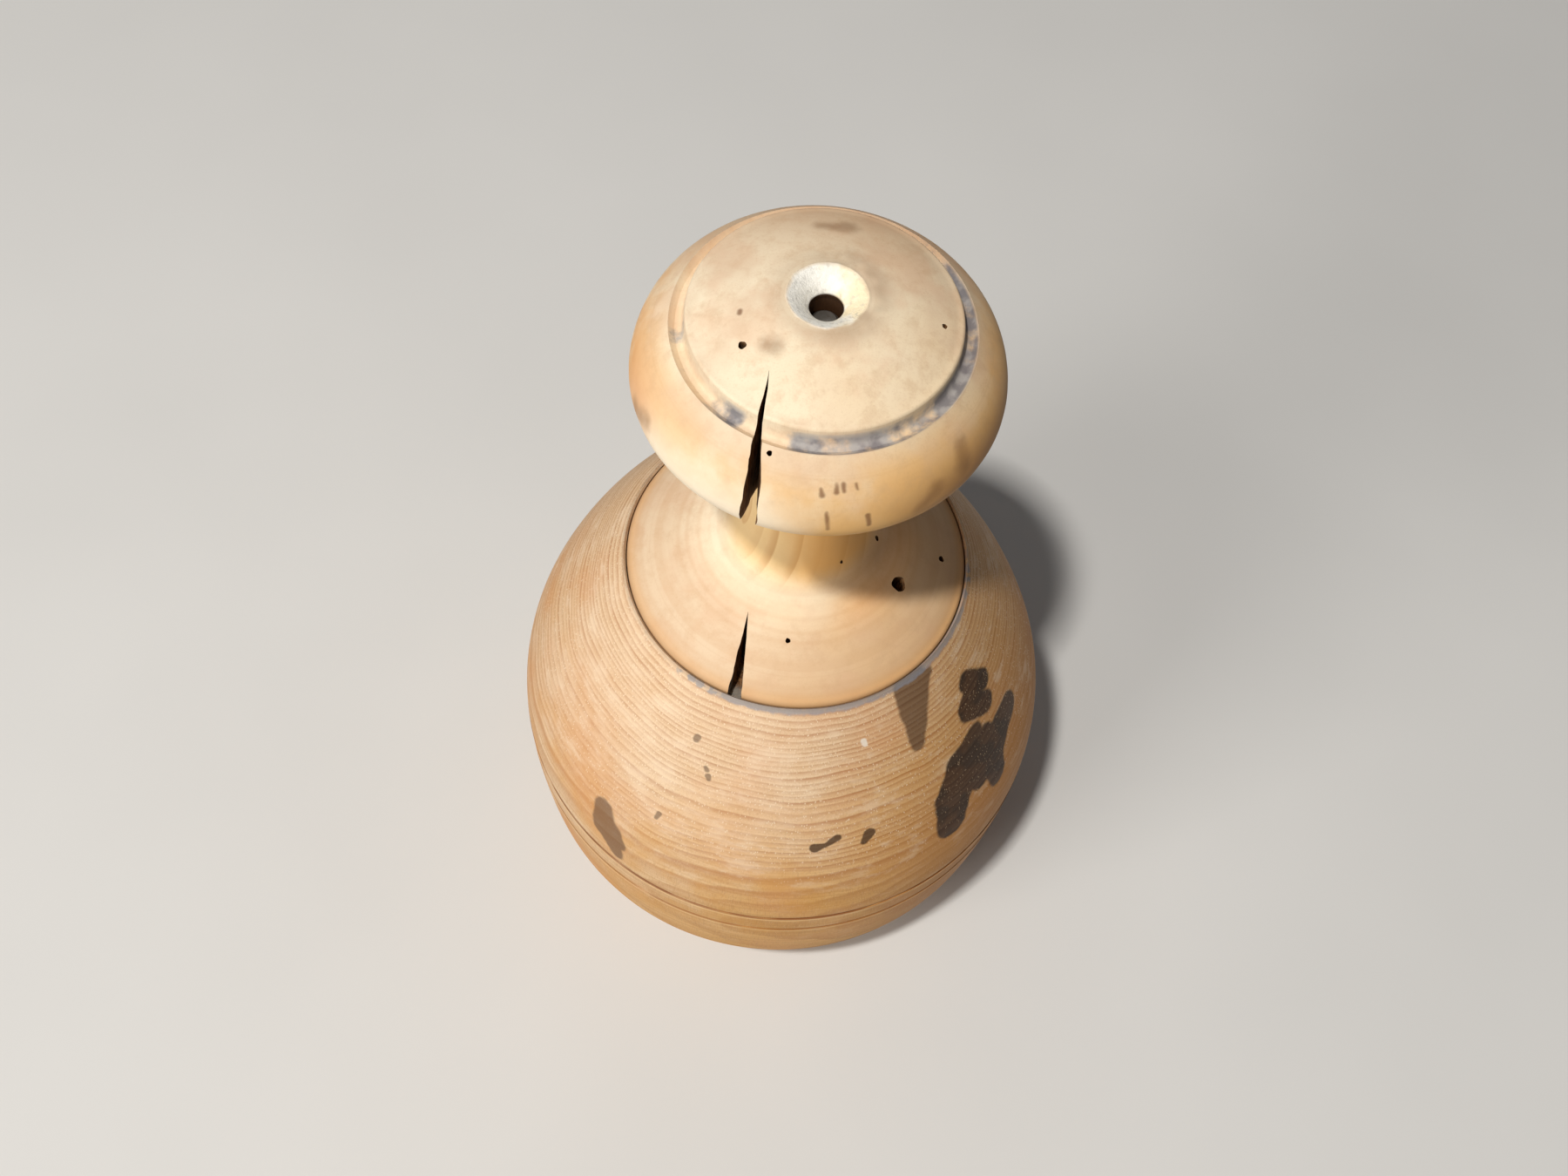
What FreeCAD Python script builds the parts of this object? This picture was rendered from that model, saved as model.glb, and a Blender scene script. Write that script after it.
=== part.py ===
"""Hand-turned wooden pepper mill: a round body, a waisted head with a mushroom knob, and the grinding works.

Millimetres. The origin is the centre of the foot, +Z runs up the turning axis, and -Y is the front.
"""

import FreeCAD
import Part
import math
import os

V = FreeCAD.Vector
AXIS = V(0, 0, 1)

# ---- Driving dimensions -------------------------------------------------------------------------
BODY_RADIUS = 38.0
WIDEST_Z = 36.0
TOTAL_HEIGHT = 125.6
FLANK_ARC = 140.0  # radius of the nearly upright outline just below the widest line
FLANK_DROP = 16.0  # how far down that arc goes
BASE_ARC = 26.0  # radius of the outline from there to the foot
FOOT_ROUND_Z = 0.8
SHOULDER_ARC = 38.0  # radius of the outline just above the widest line
SHOULDER_TURN = 20.0  # degrees that the first shoulder arc turns through
MOUTH_RADIUS = 22.35  # the rebate that the head's flange drops into
MOUTH_Z = 72.9
REBATE_DEPTH = 4.5
NECK_BORE = 17.5
HOPPER_RADIUS = 30.0
HOPPER_MID_Z = 40.0
HOPPER_TOP_Z = 60.0
HOPPER_FLOOR_Z = 20.0
WORKS_BORE = 11.0  # radius of the bore that holds the grinding ring
FOOT_RECESS_RADIUS = 16.5
FOOT_RECESS_DEPTH = 2.8
SCRIBED_LINES = (36.6, 31.6, 17.0)  # heights of the lines cut around the lower half
SCRIBED_WIDTH = 0.5
SCRIBED_DEPTH = 0.4
RIM_LIP = 0.25  # how far the body's outside stands out from the rebate at the rim

HEAD_SLACK = 0.25  # gap round the head's flange and spigot
SEAT_SLACK = 0.15  # gap under the flange, so that the head turns freely
SPIGOT_LENGTH = 11.0
FLANGE_RISE = (16.4, 76.6)  # radius and height where the flange starts to sweep up to the waist
WAIST = (FLANGE_RISE, (10.6, 80.2), (7.9, 85.4), (7.2, 91.5), (7.7, 98.0), (9.9, 103.2))
KNOB_RADIUS = 20.8
KNOB_Z = 112.6
KNOB_RISE = 13.0  # from the knob's widest line to where its side would close
KNOB_DROP = 7.2
CAP_RADIUS = 14.8  # the raised disc on top of the knob
CAP_EDGE_Z = 121.9
CAP_GROOVE_RADIUS = 16.5
SEAT_RADIUS = 4.3  # the worn funnel that the lost top nut sat in
SEAT_DEPTH = 2.2
TOP_BORE = 1.85
SHAFT_BORE = 3.2
SHAFT_BORE_TOP_Z = 113.0

SHAFT_SIDE = 4.0
SHAFT_SQUARE_Z = (4.2, 109.0)
SHAFT_THREAD_RADIUS = 1.6
SHAFT_END_Z = 121.0
SHAFT_JOURNAL_RADIUS = 1.9
SHAFT_BOTTOM_Z = 1.0
SQUARE_SLACK = 0.12

RING_Z = (2.6, 12.0)
CONE_Z = (2.7, 6.0, 10.4)
CONE_RADII = (8.6, 7.4, 3.9)
RING_RADII = (9.6, 8.4, 9.9)
RING_STEP_Z = 6.0
CONE_TEETH = 12
RING_TEETH = 18
BRIDGE_Z = (17.0, 19.0)
BRIDGE_WIDTH = 4.0
BRIDGE_RADIUS = 10.6
HUB_RADIUS = 5.0
HUB_BORE = 2.9

WASHER_RADIUS = 5.2
WASHER_Z = (16.2, 16.9)
SPRING_RADIUS = 3.6
SPRING_WIRE = 0.35  # radius
SPRING_TURNS = 4.5
SPRING_Z = (10.5, 16.1)

BAR_LENGTH = 31.0
BAR_WIDTH = 7.0
BAR_Z = (1.4, 2.6)
BAR_SCREW_X = 13.2
BAR_SCREW_SHANK = 1.1
BAR_SCREW_HOLE_TOP_Z = 9.0
PLATE_RADIUS = 12.5
PLATE_THICKNESS = 1.2
PLATE_SCREW_X = 8.5
PLATE_SCREW_SHANK = 0.8
PLATE_SCREW_HOLE = 6.0  # depth
PIN_RADIUS = 0.8
PIN_LENGTH = 9.0
PIN_Z = 8.4
WORM_HOLE_DEPTH = 4.5

CRACK_TIP_X = -4.9  # the head has split outward from here, towards the front
CRACK_TIP_Y = (-13.0, -9.0)  # at the flange, and at the knob's top
CRACK_Z = (70.5, 126.0)
CRACK_END = (-5.5, -24.0)
CRACK_SPREAD = 0.095  # half width gained for each millimetre outward
WORM_HOLES = (  # radius, then where it meets the head's surface
    (0.95, V(13.5, -5.5, 77.7)),
    (0.5, V(-8.0, -6.6, 124.1)),
    (0.4, V(0.3, -15.3, 77.3)),
    (0.35, V(12.5, -0.1, 123.2)),
)


# ---- Small helpers ------------------------------------------------------------------------------
def at(r, z):
    """A point of a half section: radius along X, height along Z."""
    return V(r, 0, z)


def line(a, b):
    return Part.LineSegment(a, b).toShape()


def arc(a, through, b):
    return Part.Arc(a, through, b).toShape()


def centre_arc(centre, radius, start, end):
    """The arc about a centre in the section plane, from one angle to another, in degrees."""

    def point(angle):
        turn = math.radians(angle)
        return centre + V(radius * math.cos(turn), 0, radius * math.sin(turn))

    return arc(point(start), point((start + end) / 2), point(end)), point(start), point(end)


def revolved(edges):
    face = Part.Face(Part.Wire(edges))
    return face.revolve(V(0, 0, 0), AXIS, 360)


def polygon_revolved(points):
    points = [at(*p) for p in points]
    return revolved([line(a, b) for a, b in zip(points, points[1:] + points[:1])])


def rod(radius, low, high, x=0.0):
    return Part.makeCylinder(radius, high - low, V(x, 0, low), AXIS)


def centred_box(length, width, low, high):
    return Part.makeBox(length, width, high - low, V(-length / 2, -width / 2, low))


def ellipse_z(r, rise):
    """Height of the knob's side above its widest line, at radius r."""
    return rise * math.sqrt(1 - (r / KNOB_RADIUS) ** 2)


def one_solid(shape):
    return shape.removeSplitter() if len(shape.Solids) == 1 else shape


# ---- Body ---------------------------------------------------------------------------------------
def flank_lean():
    """Degrees that the flank arc turns through before the base arc takes over."""
    return math.degrees(math.asin(FLANK_DROP / FLANK_ARC))


def base_arc_centre():
    turn = math.radians(-flank_lean())
    inner = FLANK_ARC - BASE_ARC
    flank_centre = at(BODY_RADIUS - FLANK_ARC, WIDEST_Z)
    return flank_centre + V(inner * math.cos(turn), 0, inner * math.sin(turn))


def skin_radius(height):
    """Radius of the outside at a height near or below the widest line."""
    if height > WIDEST_Z - FLANK_DROP:
        return BODY_RADIUS - FLANK_ARC + math.sqrt(FLANK_ARC**2 - (WIDEST_Z - height) ** 2)
    centre = base_arc_centre()
    return centre.x + math.sqrt(BASE_ARC**2 - (height - centre.z) ** 2)


def body_outline():
    """Edges of the outside, from the foot up to the rim of the mouth."""
    lean = flank_lean()
    flank, _, _ = centre_arc(at(BODY_RADIUS - FLANK_ARC, WIDEST_Z), FLANK_ARC, -lean, 0)
    base_centre = base_arc_centre()
    base_start = -math.degrees(math.asin((base_centre.z - FOOT_ROUND_Z) / BASE_ARC))
    base, base_low, _ = centre_arc(base_centre, BASE_ARC, base_start, -lean)
    shoulder_centre = at(BODY_RADIUS - SHOULDER_ARC, WIDEST_Z)
    shoulder, _, turn_point = centre_arc(shoulder_centre, SHOULDER_ARC, 0, SHOULDER_TURN)
    rim = at(MOUTH_RADIUS + RIM_LIP, MOUTH_Z)
    # The upper arc leaves the shoulder in line with it and ends at the rim.
    chord = rim - turn_point
    chord_tilt = math.degrees(math.atan2(-chord.x, chord.z))
    half_turn = chord_tilt - SHOULDER_TURN
    radius = chord.Length / (2 * math.sin(math.radians(half_turn)))
    inward = V(math.cos(math.radians(SHOULDER_TURN)), 0, math.sin(math.radians(SHOULDER_TURN)))
    upper_centre = turn_point - inward * radius
    upper, _, _ = centre_arc(upper_centre, radius, SHOULDER_TURN, SHOULDER_TURN + 2 * half_turn)
    foot_edge = at(base_low.x - 0.7, 0)
    edges = [line(foot_edge, base_low), base, flank, shoulder, upper]
    return edges, foot_edge, rim


def mill_body():
    outside, foot_edge, rim = body_outline()
    ledge_z = MOUTH_Z - REBATE_DEPTH
    rebate_top = at(MOUTH_RADIUS, MOUTH_Z - 0.35)
    ledge_out = at(MOUTH_RADIUS, ledge_z)
    ledge_in = at(NECK_BORE, ledge_z)
    hopper_top = at(NECK_BORE, HOPPER_TOP_Z)
    floor = at(WORKS_BORE, HOPPER_FLOOR_Z)
    works_low = at(WORKS_BORE, FOOT_RECESS_DEPTH)
    recess_top = at(FOOT_RECESS_RADIUS, FOOT_RECESS_DEPTH)
    recess_low = at(FOOT_RECESS_RADIUS, 0)
    body = revolved(
        outside
        + [
            line(rim, rebate_top),
            line(rebate_top, ledge_out),
            line(ledge_out, ledge_in),
            line(ledge_in, hopper_top),
            arc(hopper_top, at(HOPPER_RADIUS, HOPPER_MID_Z), floor),
            line(floor, works_low),
            line(works_low, recess_top),
            line(recess_top, recess_low),
            line(recess_low, foot_edge),
        ]
    )
    for height in SCRIBED_LINES:
        body = body.cut(scribed_ring(height))
    for side in (-1, 1):
        body = body.cut(rod(BAR_SCREW_SHANK, FOOT_RECESS_DEPTH - 1, BAR_SCREW_HOLE_TOP_Z, side * BAR_SCREW_X))
    return body


def scribed_ring(height):
    """The vee that a skew chisel leaves round the belly at this height."""
    skin = skin_radius(height)
    clear = 0.3  # the cutter starts this far outside, and is wider there
    half = SCRIBED_WIDTH / 2 * (SCRIBED_DEPTH + clear) / SCRIBED_DEPTH
    outer = skin + clear
    return polygon_revolved([(skin - SCRIBED_DEPTH, height), (outer, height - half), (outer, height + half)])


# ---- Head ---------------------------------------------------------------------------------------
def turned_head():
    flange = MOUTH_RADIUS - HEAD_SLACK
    spigot = NECK_BORE - HEAD_SLACK - 0.05
    flange_low_z = MOUTH_Z - REBATE_DEPTH + SEAT_SLACK
    spigot_low_z = flange_low_z - SPIGOT_LENGTH
    under = [at(r, KNOB_Z - ellipse_z(r, KNOB_DROP)) for r in (14.6, 18.2, 20.2)]
    over = [at(r, KNOB_Z + ellipse_z(r, KNOB_RISE)) for r in (20.2, 18.8, CAP_GROOVE_RADIUS)]
    side = Part.BSplineCurve()
    side.interpolate([at(*p) for p in WAIST] + under + [at(KNOB_RADIUS, KNOB_Z)] + over)
    rim_low, rim_high = at(flange, MOUTH_Z - 0.5), at(flange - 0.5, MOUTH_Z + 0.15)
    cap_low = at(CAP_RADIUS, CAP_EDGE_Z)
    cap_high = at(CAP_RADIUS - 0.5, CAP_EDGE_Z + 0.5)
    seat_edge = at(SEAT_RADIUS, TOTAL_HEIGHT - 0.1)
    points = [
        (SHAFT_BORE, SHAFT_BORE_TOP_Z),
        (SHAFT_BORE, spigot_low_z),
        (spigot - 0.6, spigot_low_z),
        (spigot, spigot_low_z + 0.6),
        (spigot, flange_low_z),
        (flange, flange_low_z),
        (flange, MOUTH_Z - 0.5),
    ]
    low = [at(*p) for p in points]
    edges = [line(a, b) for a, b in zip(low, low[1:])]
    edges += [
        arc(rim_low, at(flange - 0.12, MOUTH_Z - 0.08), rim_high),
        arc(rim_high, at(19.4, 74.8), at(*FLANGE_RISE)),
        side.toShape(),
        line(over[-1], at(CAP_GROOVE_RADIUS - 0.7, CAP_EDGE_Z - 1.9)),
        line(at(CAP_GROOVE_RADIUS - 0.7, CAP_EDGE_Z - 1.9), at(CAP_RADIUS + 0.25, CAP_EDGE_Z - 1.5)),
        line(at(CAP_RADIUS + 0.25, CAP_EDGE_Z - 1.5), cap_low),
        arc(cap_low, at(CAP_RADIUS - 0.12, CAP_EDGE_Z + 0.35), cap_high),
        arc(cap_high, at(9.6, 124.3), seat_edge),
        arc(seat_edge, at(2.8, TOTAL_HEIGHT - 1.1), at(TOP_BORE, TOTAL_HEIGHT - SEAT_DEPTH)),
        line(at(TOP_BORE, TOTAL_HEIGHT - SEAT_DEPTH), at(TOP_BORE, SHAFT_BORE_TOP_Z)),
        line(at(TOP_BORE, SHAFT_BORE_TOP_Z), low[0]),
    ]
    head = revolved(edges)
    for radius, entry in WORM_HOLES:
        above = V(0, 0, 1.5)
        head = head.cut(Part.makeCylinder(radius, WORM_HOLE_DEPTH + above.z, entry + above, V(0, 0, -1)))
    head = head.cut(crack())
    for side_x in (-PLATE_SCREW_X, PLATE_SCREW_X):
        head = head.cut(rod(PLATE_SCREW_SHANK, spigot_low_z - 1, spigot_low_z + PLATE_SCREW_HOLE, side_x))
    return head


def crack():
    """The wedge of one drying split, which shows in the knob and again in the flange."""
    wires = []
    for tip_y, z in zip(CRACK_TIP_Y, CRACK_Z):
        end_x, end_y = CRACK_END
        half = CRACK_SPREAD * (tip_y - end_y)
        corners = [V(CRACK_TIP_X, tip_y, z), V(end_x - half, end_y, z), V(end_x + half, end_y, z)]
        wires.append(Part.makePolygon(corners + corners[:1]))
    return Part.makeLoft(wires, True, True)


# ---- Grinding works -----------------------------------------------------------------------------
def drive_shaft():
    low, high = SHAFT_SQUARE_Z
    shaft = centred_box(SHAFT_SIDE, SHAFT_SIDE, low, high)
    shaft = shaft.fuse(rod(SHAFT_JOURNAL_RADIUS, SHAFT_BOTTOM_Z, low))
    end = rod(SHAFT_THREAD_RADIUS, high, SHAFT_END_Z)
    tip = Part.makeCone(SHAFT_THREAD_RADIUS, SHAFT_THREAD_RADIUS - 0.35, 0.35, V(0, 0, SHAFT_END_Z), AXIS)
    return one_solid(shaft.fuse(end).fuse(tip)).cut(cone_pin())


def cone_pin():
    return Part.makeCylinder(PIN_RADIUS, PIN_LENGTH, V(-PIN_LENGTH / 2, 0, PIN_Z), V(1, 0, 0))


def vee_cutter(radius_low, radius_high, low, high, depth, half_angle):
    """One straight tooth gap of a cone, lying on the +X side."""
    points = []
    for radius, height in ((radius_low, low), (radius_high, high)):
        half = (radius + depth) * math.tan(math.radians(half_angle))
        outer = radius + depth
        points.append([V(radius - depth, 0, height), V(outer, half, height), V(outer, -half, height)])
    wires = [Part.makePolygon(p + p[:1]) for p in points]
    return Part.makeLoft(wires, True, True)


def around(cutter, count, offset=0.0):
    made = []
    for i in range(count):
        copy = cutter.copy()
        copy.rotate(V(0, 0, 0), AXIS, offset + 360.0 * i / count)
        made.append(copy)
    return made


def grinding_cone():
    (z0, z1, z2), (r0, r1, r2) = CONE_Z, CONE_RADII
    cone = polygon_revolved([(0, z0), (r0, z0), (r1, z1), (r2, z2), (0, z2)])
    fine = vee_cutter(r0 + 0.2, r1 - 0.2, z0 - 0.5, z1 + 0.5, 0.9, 5.5)
    coarse = vee_cutter(r1 + 0.2, r2 - 0.2, z1 - 0.25, z2 + 0.25, 1.3, 9.0)
    for gap in around(fine, CONE_TEETH) + around(coarse, CONE_TEETH // 2, 15.0):
        cone = cone.cut(gap)
    return cone.cut(centred_box(SHAFT_SIDE, SHAFT_SIDE, z0 - 1, z2 + 1)).cut(cone_pin())


def grinding_ring():
    (low, high), (r_low, r_step, r_high) = RING_Z, RING_RADII
    ring = polygon_revolved(
        [(WORKS_BORE, low), (WORKS_BORE, high), (r_high, high), (r_step, RING_STEP_Z), (r_low, low)]
    )
    below = low - 0.5
    corners = [V(8.0, 0, below), V(10.25, 0.7, below), V(10.25, -0.7, below)]
    gap = Part.Face(Part.makePolygon(corners + corners[:1])).extrude(V(0, 0, high - low + 1))
    for cutter in around(gap, RING_TEETH):
        ring = ring.cut(cutter)
    bridge_low, bridge_high = BRIDGE_Z
    bridge = centred_box(2 * BRIDGE_RADIUS, BRIDGE_WIDTH, bridge_low, bridge_high)
    bridge = bridge.fuse(rod(HUB_RADIUS, bridge_low, bridge_high))
    for side in (-1, 1):
        leg = centred_box(1.1, BRIDGE_WIDTH, high - 0.5, bridge_high)
        leg.translate(V(side * (BRIDGE_RADIUS - 0.2), 0, 0))
        bridge = bridge.fuse(leg)
    bridge = bridge.common(rod(WORKS_BORE - 0.02, low, bridge_high))
    return ring.fuse(bridge).cut(rod(HUB_BORE, bridge_low - 1, bridge_high + 1))


def spring_washer():
    """Turns with the shaft on its square hole, and bears on the underside of the bridge."""
    hole = SHAFT_SIDE + 2 * SQUARE_SLACK
    return rod(WASHER_RADIUS, *WASHER_Z).cut(centred_box(hole, hole, WASHER_Z[0] - 1, WASHER_Z[1] + 1))


def adjuster_spring():
    low = SPRING_Z[0] + SPRING_WIRE
    high = SPRING_Z[1] - SPRING_WIRE
    helix = Part.makeHelix((high - low) / SPRING_TURNS, high - low, SPRING_RADIUS)
    helix.translate(V(0, 0, low))
    wire = Part.Wire(helix.Edges)
    section = Part.Wire(Part.makeCircle(SPRING_WIRE, V(SPRING_RADIUS, 0, low), V(0, 1, 0)))
    return wire.makePipeShell([section], True, True)


def retaining_bar():
    low, high = BAR_Z
    bar = centred_box(BAR_LENGTH - BAR_WIDTH, BAR_WIDTH, low, high)
    for side in (-1, 1):
        bar = bar.fuse(rod(BAR_WIDTH / 2, low, high, side * (BAR_LENGTH - BAR_WIDTH) / 2))
        bar = bar.cut(rod(1.3, low - 1, high + 1, side * BAR_SCREW_X))
    return one_solid(bar.cut(rod(SHAFT_JOURNAL_RADIUS + 0.1, low - 1, high + 1)))


def round_head_screw(x, under_head, shank, head_radius, head_height, length):
    """A slotted round-head screw standing point up, its head hanging below under_head."""
    ball = (head_radius**2 + head_height**2) / (2 * head_height)
    head = Part.makeSphere(ball, V(x, 0, under_head - head_height + ball))
    head = head.common(rod(head_radius, under_head - head_height - 1, under_head, x))
    slot_corner = V(x - head_radius - 1, -0.25, under_head - head_height - 0.01)
    slot = Part.makeBox(2 * head_radius + 2, 0.5, 0.5, slot_corner)
    body = rod(shank, under_head, under_head + length - shank, x)
    point = Part.makeCone(shank, 0.15, shank, V(x, 0, under_head + length - shank), AXIS)
    return one_solid(head.cut(slot).fuse(body).fuse(point))


def retaining_screws():
    return Part.makeCompound(
        [round_head_screw(s * BAR_SCREW_X, BAR_Z[0], BAR_SCREW_SHANK, 2.3, 1.1, 7.4) for s in (-1, 1)]
    )


def spigot_bottom_z():
    return MOUTH_Z - REBATE_DEPTH + SEAT_SLACK - SPIGOT_LENGTH


def turn_plate():
    high = spigot_bottom_z()
    low = high - PLATE_THICKNESS
    plate = rod(PLATE_RADIUS, low, high).common(centred_box(2 * PLATE_RADIUS, 14.0, low, high))
    hole = SHAFT_SIDE + 2 * SQUARE_SLACK
    plate = plate.cut(centred_box(hole, hole, low - 1, high + 1))
    for side in (-1, 1):
        plate = plate.cut(rod(0.95, low - 1, high + 1, side * PLATE_SCREW_X))
    return plate


def turn_plate_screws():
    under_head = spigot_bottom_z() - PLATE_THICKNESS
    return Part.makeCompound(
        [round_head_screw(s * PLATE_SCREW_X, under_head, PLATE_SCREW_SHANK, 1.7, 0.9, 6.6) for s in (-1, 1)]
    )


NODES = {
    "mill_body": mill_body,
    "turned_head": turned_head,
    "drive_shaft": drive_shaft,
    "cone_pin": cone_pin,
    "grinding_cone": grinding_cone,
    "grinding_ring": grinding_ring,
    "spring_washer": spring_washer,
    "adjuster_spring": adjuster_spring,
    "retaining_bar": retaining_bar,
    "retaining_screws": retaining_screws,
    "turn_plate": turn_plate,
    "turn_plate_screws": turn_plate_screws,
}

os.makedirs("parts", exist_ok=True)
for name, make in NODES.items():
    shape = make()
    good = shape.isValid() and all(s.isClosed() for s in shape.Solids)
    print(name, "solids", len(shape.Solids), "volume", round(shape.Volume, 1), "ok" if good else "BAD")
    shape.exportStep(f"parts/{name}.step")
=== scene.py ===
"""A worn, hand-turned pepper mill in two woods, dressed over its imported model.

Shapes are worked out in millimetres and scaled to metres when they become meshes.
"""

import math
import random

import bmesh
import bpy
from mathutils import Matrix, Vector, noise


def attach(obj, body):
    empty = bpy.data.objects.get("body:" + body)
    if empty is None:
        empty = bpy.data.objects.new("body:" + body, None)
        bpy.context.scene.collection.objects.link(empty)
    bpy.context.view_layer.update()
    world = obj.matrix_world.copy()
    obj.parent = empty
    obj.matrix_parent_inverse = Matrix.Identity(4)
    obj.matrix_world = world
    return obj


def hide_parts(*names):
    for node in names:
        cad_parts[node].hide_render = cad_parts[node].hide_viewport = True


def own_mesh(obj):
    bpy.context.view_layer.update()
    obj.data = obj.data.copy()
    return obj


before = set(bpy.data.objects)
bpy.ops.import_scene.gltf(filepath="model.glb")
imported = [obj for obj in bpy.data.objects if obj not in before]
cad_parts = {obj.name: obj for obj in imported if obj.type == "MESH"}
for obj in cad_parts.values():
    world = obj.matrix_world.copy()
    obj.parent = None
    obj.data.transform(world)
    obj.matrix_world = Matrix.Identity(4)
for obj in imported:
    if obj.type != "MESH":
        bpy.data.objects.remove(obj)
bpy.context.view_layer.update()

MM = 0.001
scene = bpy.context.scene

# ---- Outline of the turned pieces: radii, heights and arcs, in mm -----------
BODY_RADIUS = 38.0
WIDEST_Z = 36.0
FLANK_ARC = 140.0
FLANK_DROP = 16.0
BASE_ARC = 26.0
FOOT_ROUND_Z = 0.8
SHOULDER_ARC = 38.0
SHOULDER_TURN = 20.0
MOUTH_RADIUS = 22.35
MOUTH_Z = 72.9
LEDGE_Z = 68.4
NECK_BORE = 17.5
SCRIBED_LINES = ((36.6, 0.5), (31.6, 0.34), (17.0, 0.2))  # height and depth
KNOB_RADIUS = 20.8
KNOB_Z = 112.6
KNOB_RISE = 13.0
KNOB_DROP = 7.2
CAP_RADIUS = 14.8
CAP_EDGE_Z = 121.9
CAP_GROOVE_RADIUS = 16.5
TOP_Z = 125.6
BORE_RADIUS = 1.85
SEAT_RADIUS = 4.3
SEAT_DEPTH = 2.2

# ---- Hidden hollows and fits, in mm -----------------------------------------
SEAM_GAP = 0.14
SPIGOT_GAP = 0.3
SPIGOT_LENGTH = 11.0
SPIGOT_CHAMFER = 0.6
FLANGE_LIFT = 0.15  # the flange stays this far above the ledge
HEAD_BORE = 3.2
HEAD_BORE_TOP_Z = 113.0
NECK_BORE_LOW_Z = 60.0
HOPPER_RADIUS = 30.0
HOPPER_Z = 40.0
WORKS_BORE = 11.0
WORKS_BORE_TOP_Z = 20.0
FOOT_RECESS = 16.5
FOOT_RECESS_DEPTH = 2.8
STAYS_ROUND = 24.0
MOUTH_BEVEL = (0.25, 0.3)  # out and down
FOOT_ROUND = 0.7

SPRING_RADIUS = 3.6
SPRING_WIRE = 0.35
SPRING_TURNS = 4.5
SPRING_LOW_Z = 10.5
SPRING_HIGH_Z = 16.1

# ---- Damage to the head, in mm ----------------------------------------------
CRACK_LOW_Z = 70.5
CRACK_HIGH_Z = 126.0
CRACK_TIP_LOW_Y = -13.0
CRACK_TIP_HIGH_Y = -9.2
CRACK_FAR_Y = -24.0
CRACK_X = -4.9
HOLE_START = 1.2  # a hole's cutter begins this far outside the surface
HEAD_HOLES = (  # where it meets the surface, the way in, radius and depth
    ((13.5, -5.5, 77.7), (-0.5, 0.2, -1.0), 0.98, 6.0),
    ((18.9, 0.4, 75.3), (-0.3, 0.0, -1.0), 0.42, 3.0),
    ((0.3, -15.3, 77.3), (0.1, 0.4, -1.0), 0.33, 3.0),
    ((-8.0, -6.6, 124.1), (0.1, 0.2, -1.0), 0.44, 4.0),
    ((12.5, -0.4, 123.2), (-0.1, 0.1, -1.0), 0.3, 3.0),
    ((-3.9, -16.6, 120.0), (0.1, 0.6, -1.0), 0.28, 3.0),
    ((9.9, -1.2, 80.9), (-0.3, 0.0, -1.0), 0.33, 3.0),
    ((-5.1, -15.8, 76.5), (0.0, 0.2, -1.0), 0.2, 1.0),
    ((5.7, -6.6, 83.2), (-0.3, 0.3, -1.0), 0.2, 1.0),
)

# ---- How finely the meshes are made -----------------------------------------
BODY_SEGMENTS = 300
HEAD_SEGMENTS = 260
CRACK_LEVELS = 46
CRACK_STEPS = 16
HOLE_SIDES = 20
HOLE_STEPS = 8
SPRING_STEPS_PER_TURN = 36
SPRING_SIDES = 12
SMOOTH_ANGLE = 32.0
SPRING_SMOOTH_ANGLE = 50.0

CHISEL_REACH = 0.85  # the outline is redrawn this far above and below each line
CHISEL_CUT = (  # height from the line, and share of its depth; below zero stands proud
    (-0.75, 0.0),
    (-0.5, -0.06),
    (-0.34, -0.1),
    (-0.22, 0.3),
    (-0.06, 1.0),
    (0.1, 0.92),
    (0.2, 0.35),
    (0.32, 0.04),
    (0.7, 0.0),
)


# ---- Mesh helpers -----------------------------------------------------------
def arc_points(centre, radius, start, end, step):
    """Points of an arc in the section plane, between two angles in degrees, about step mm apart."""
    length = abs(math.radians(end - start)) * radius
    count = max(2, round(length / step))
    points = []
    for i in range(count + 1):
        turn = math.radians(start + (end - start) * i / count)
        points.append((centre[0] + radius * math.cos(turn), centre[1] + radius * math.sin(turn)))
    return points


def arc_through(a, b, c, step):
    """Points of the arc from a through b to c."""
    ax, ay = a
    bx, by = b
    cx, cy = c
    det = 2 * (ax * (by - cy) + bx * (cy - ay) + cx * (ay - by))
    squares = (ax * ax + ay * ay, bx * bx + by * by, cx * cx + cy * cy)
    ux = (squares[0] * (by - cy) + squares[1] * (cy - ay) + squares[2] * (ay - by)) / det
    uy = (squares[0] * (cx - bx) + squares[1] * (ax - cx) + squares[2] * (bx - ax)) / det
    radius = math.hypot(ax - ux, ay - uy)
    angles = [math.degrees(math.atan2(y - uy, x - ux)) for x, y in (a, b, c)]
    start, middle, end = angles
    sweep = (end - start) % 360
    if (middle - start) % 360 > sweep:
        sweep -= 360
    return arc_points((ux, uy), radius, start, start + sweep, step)


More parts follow.
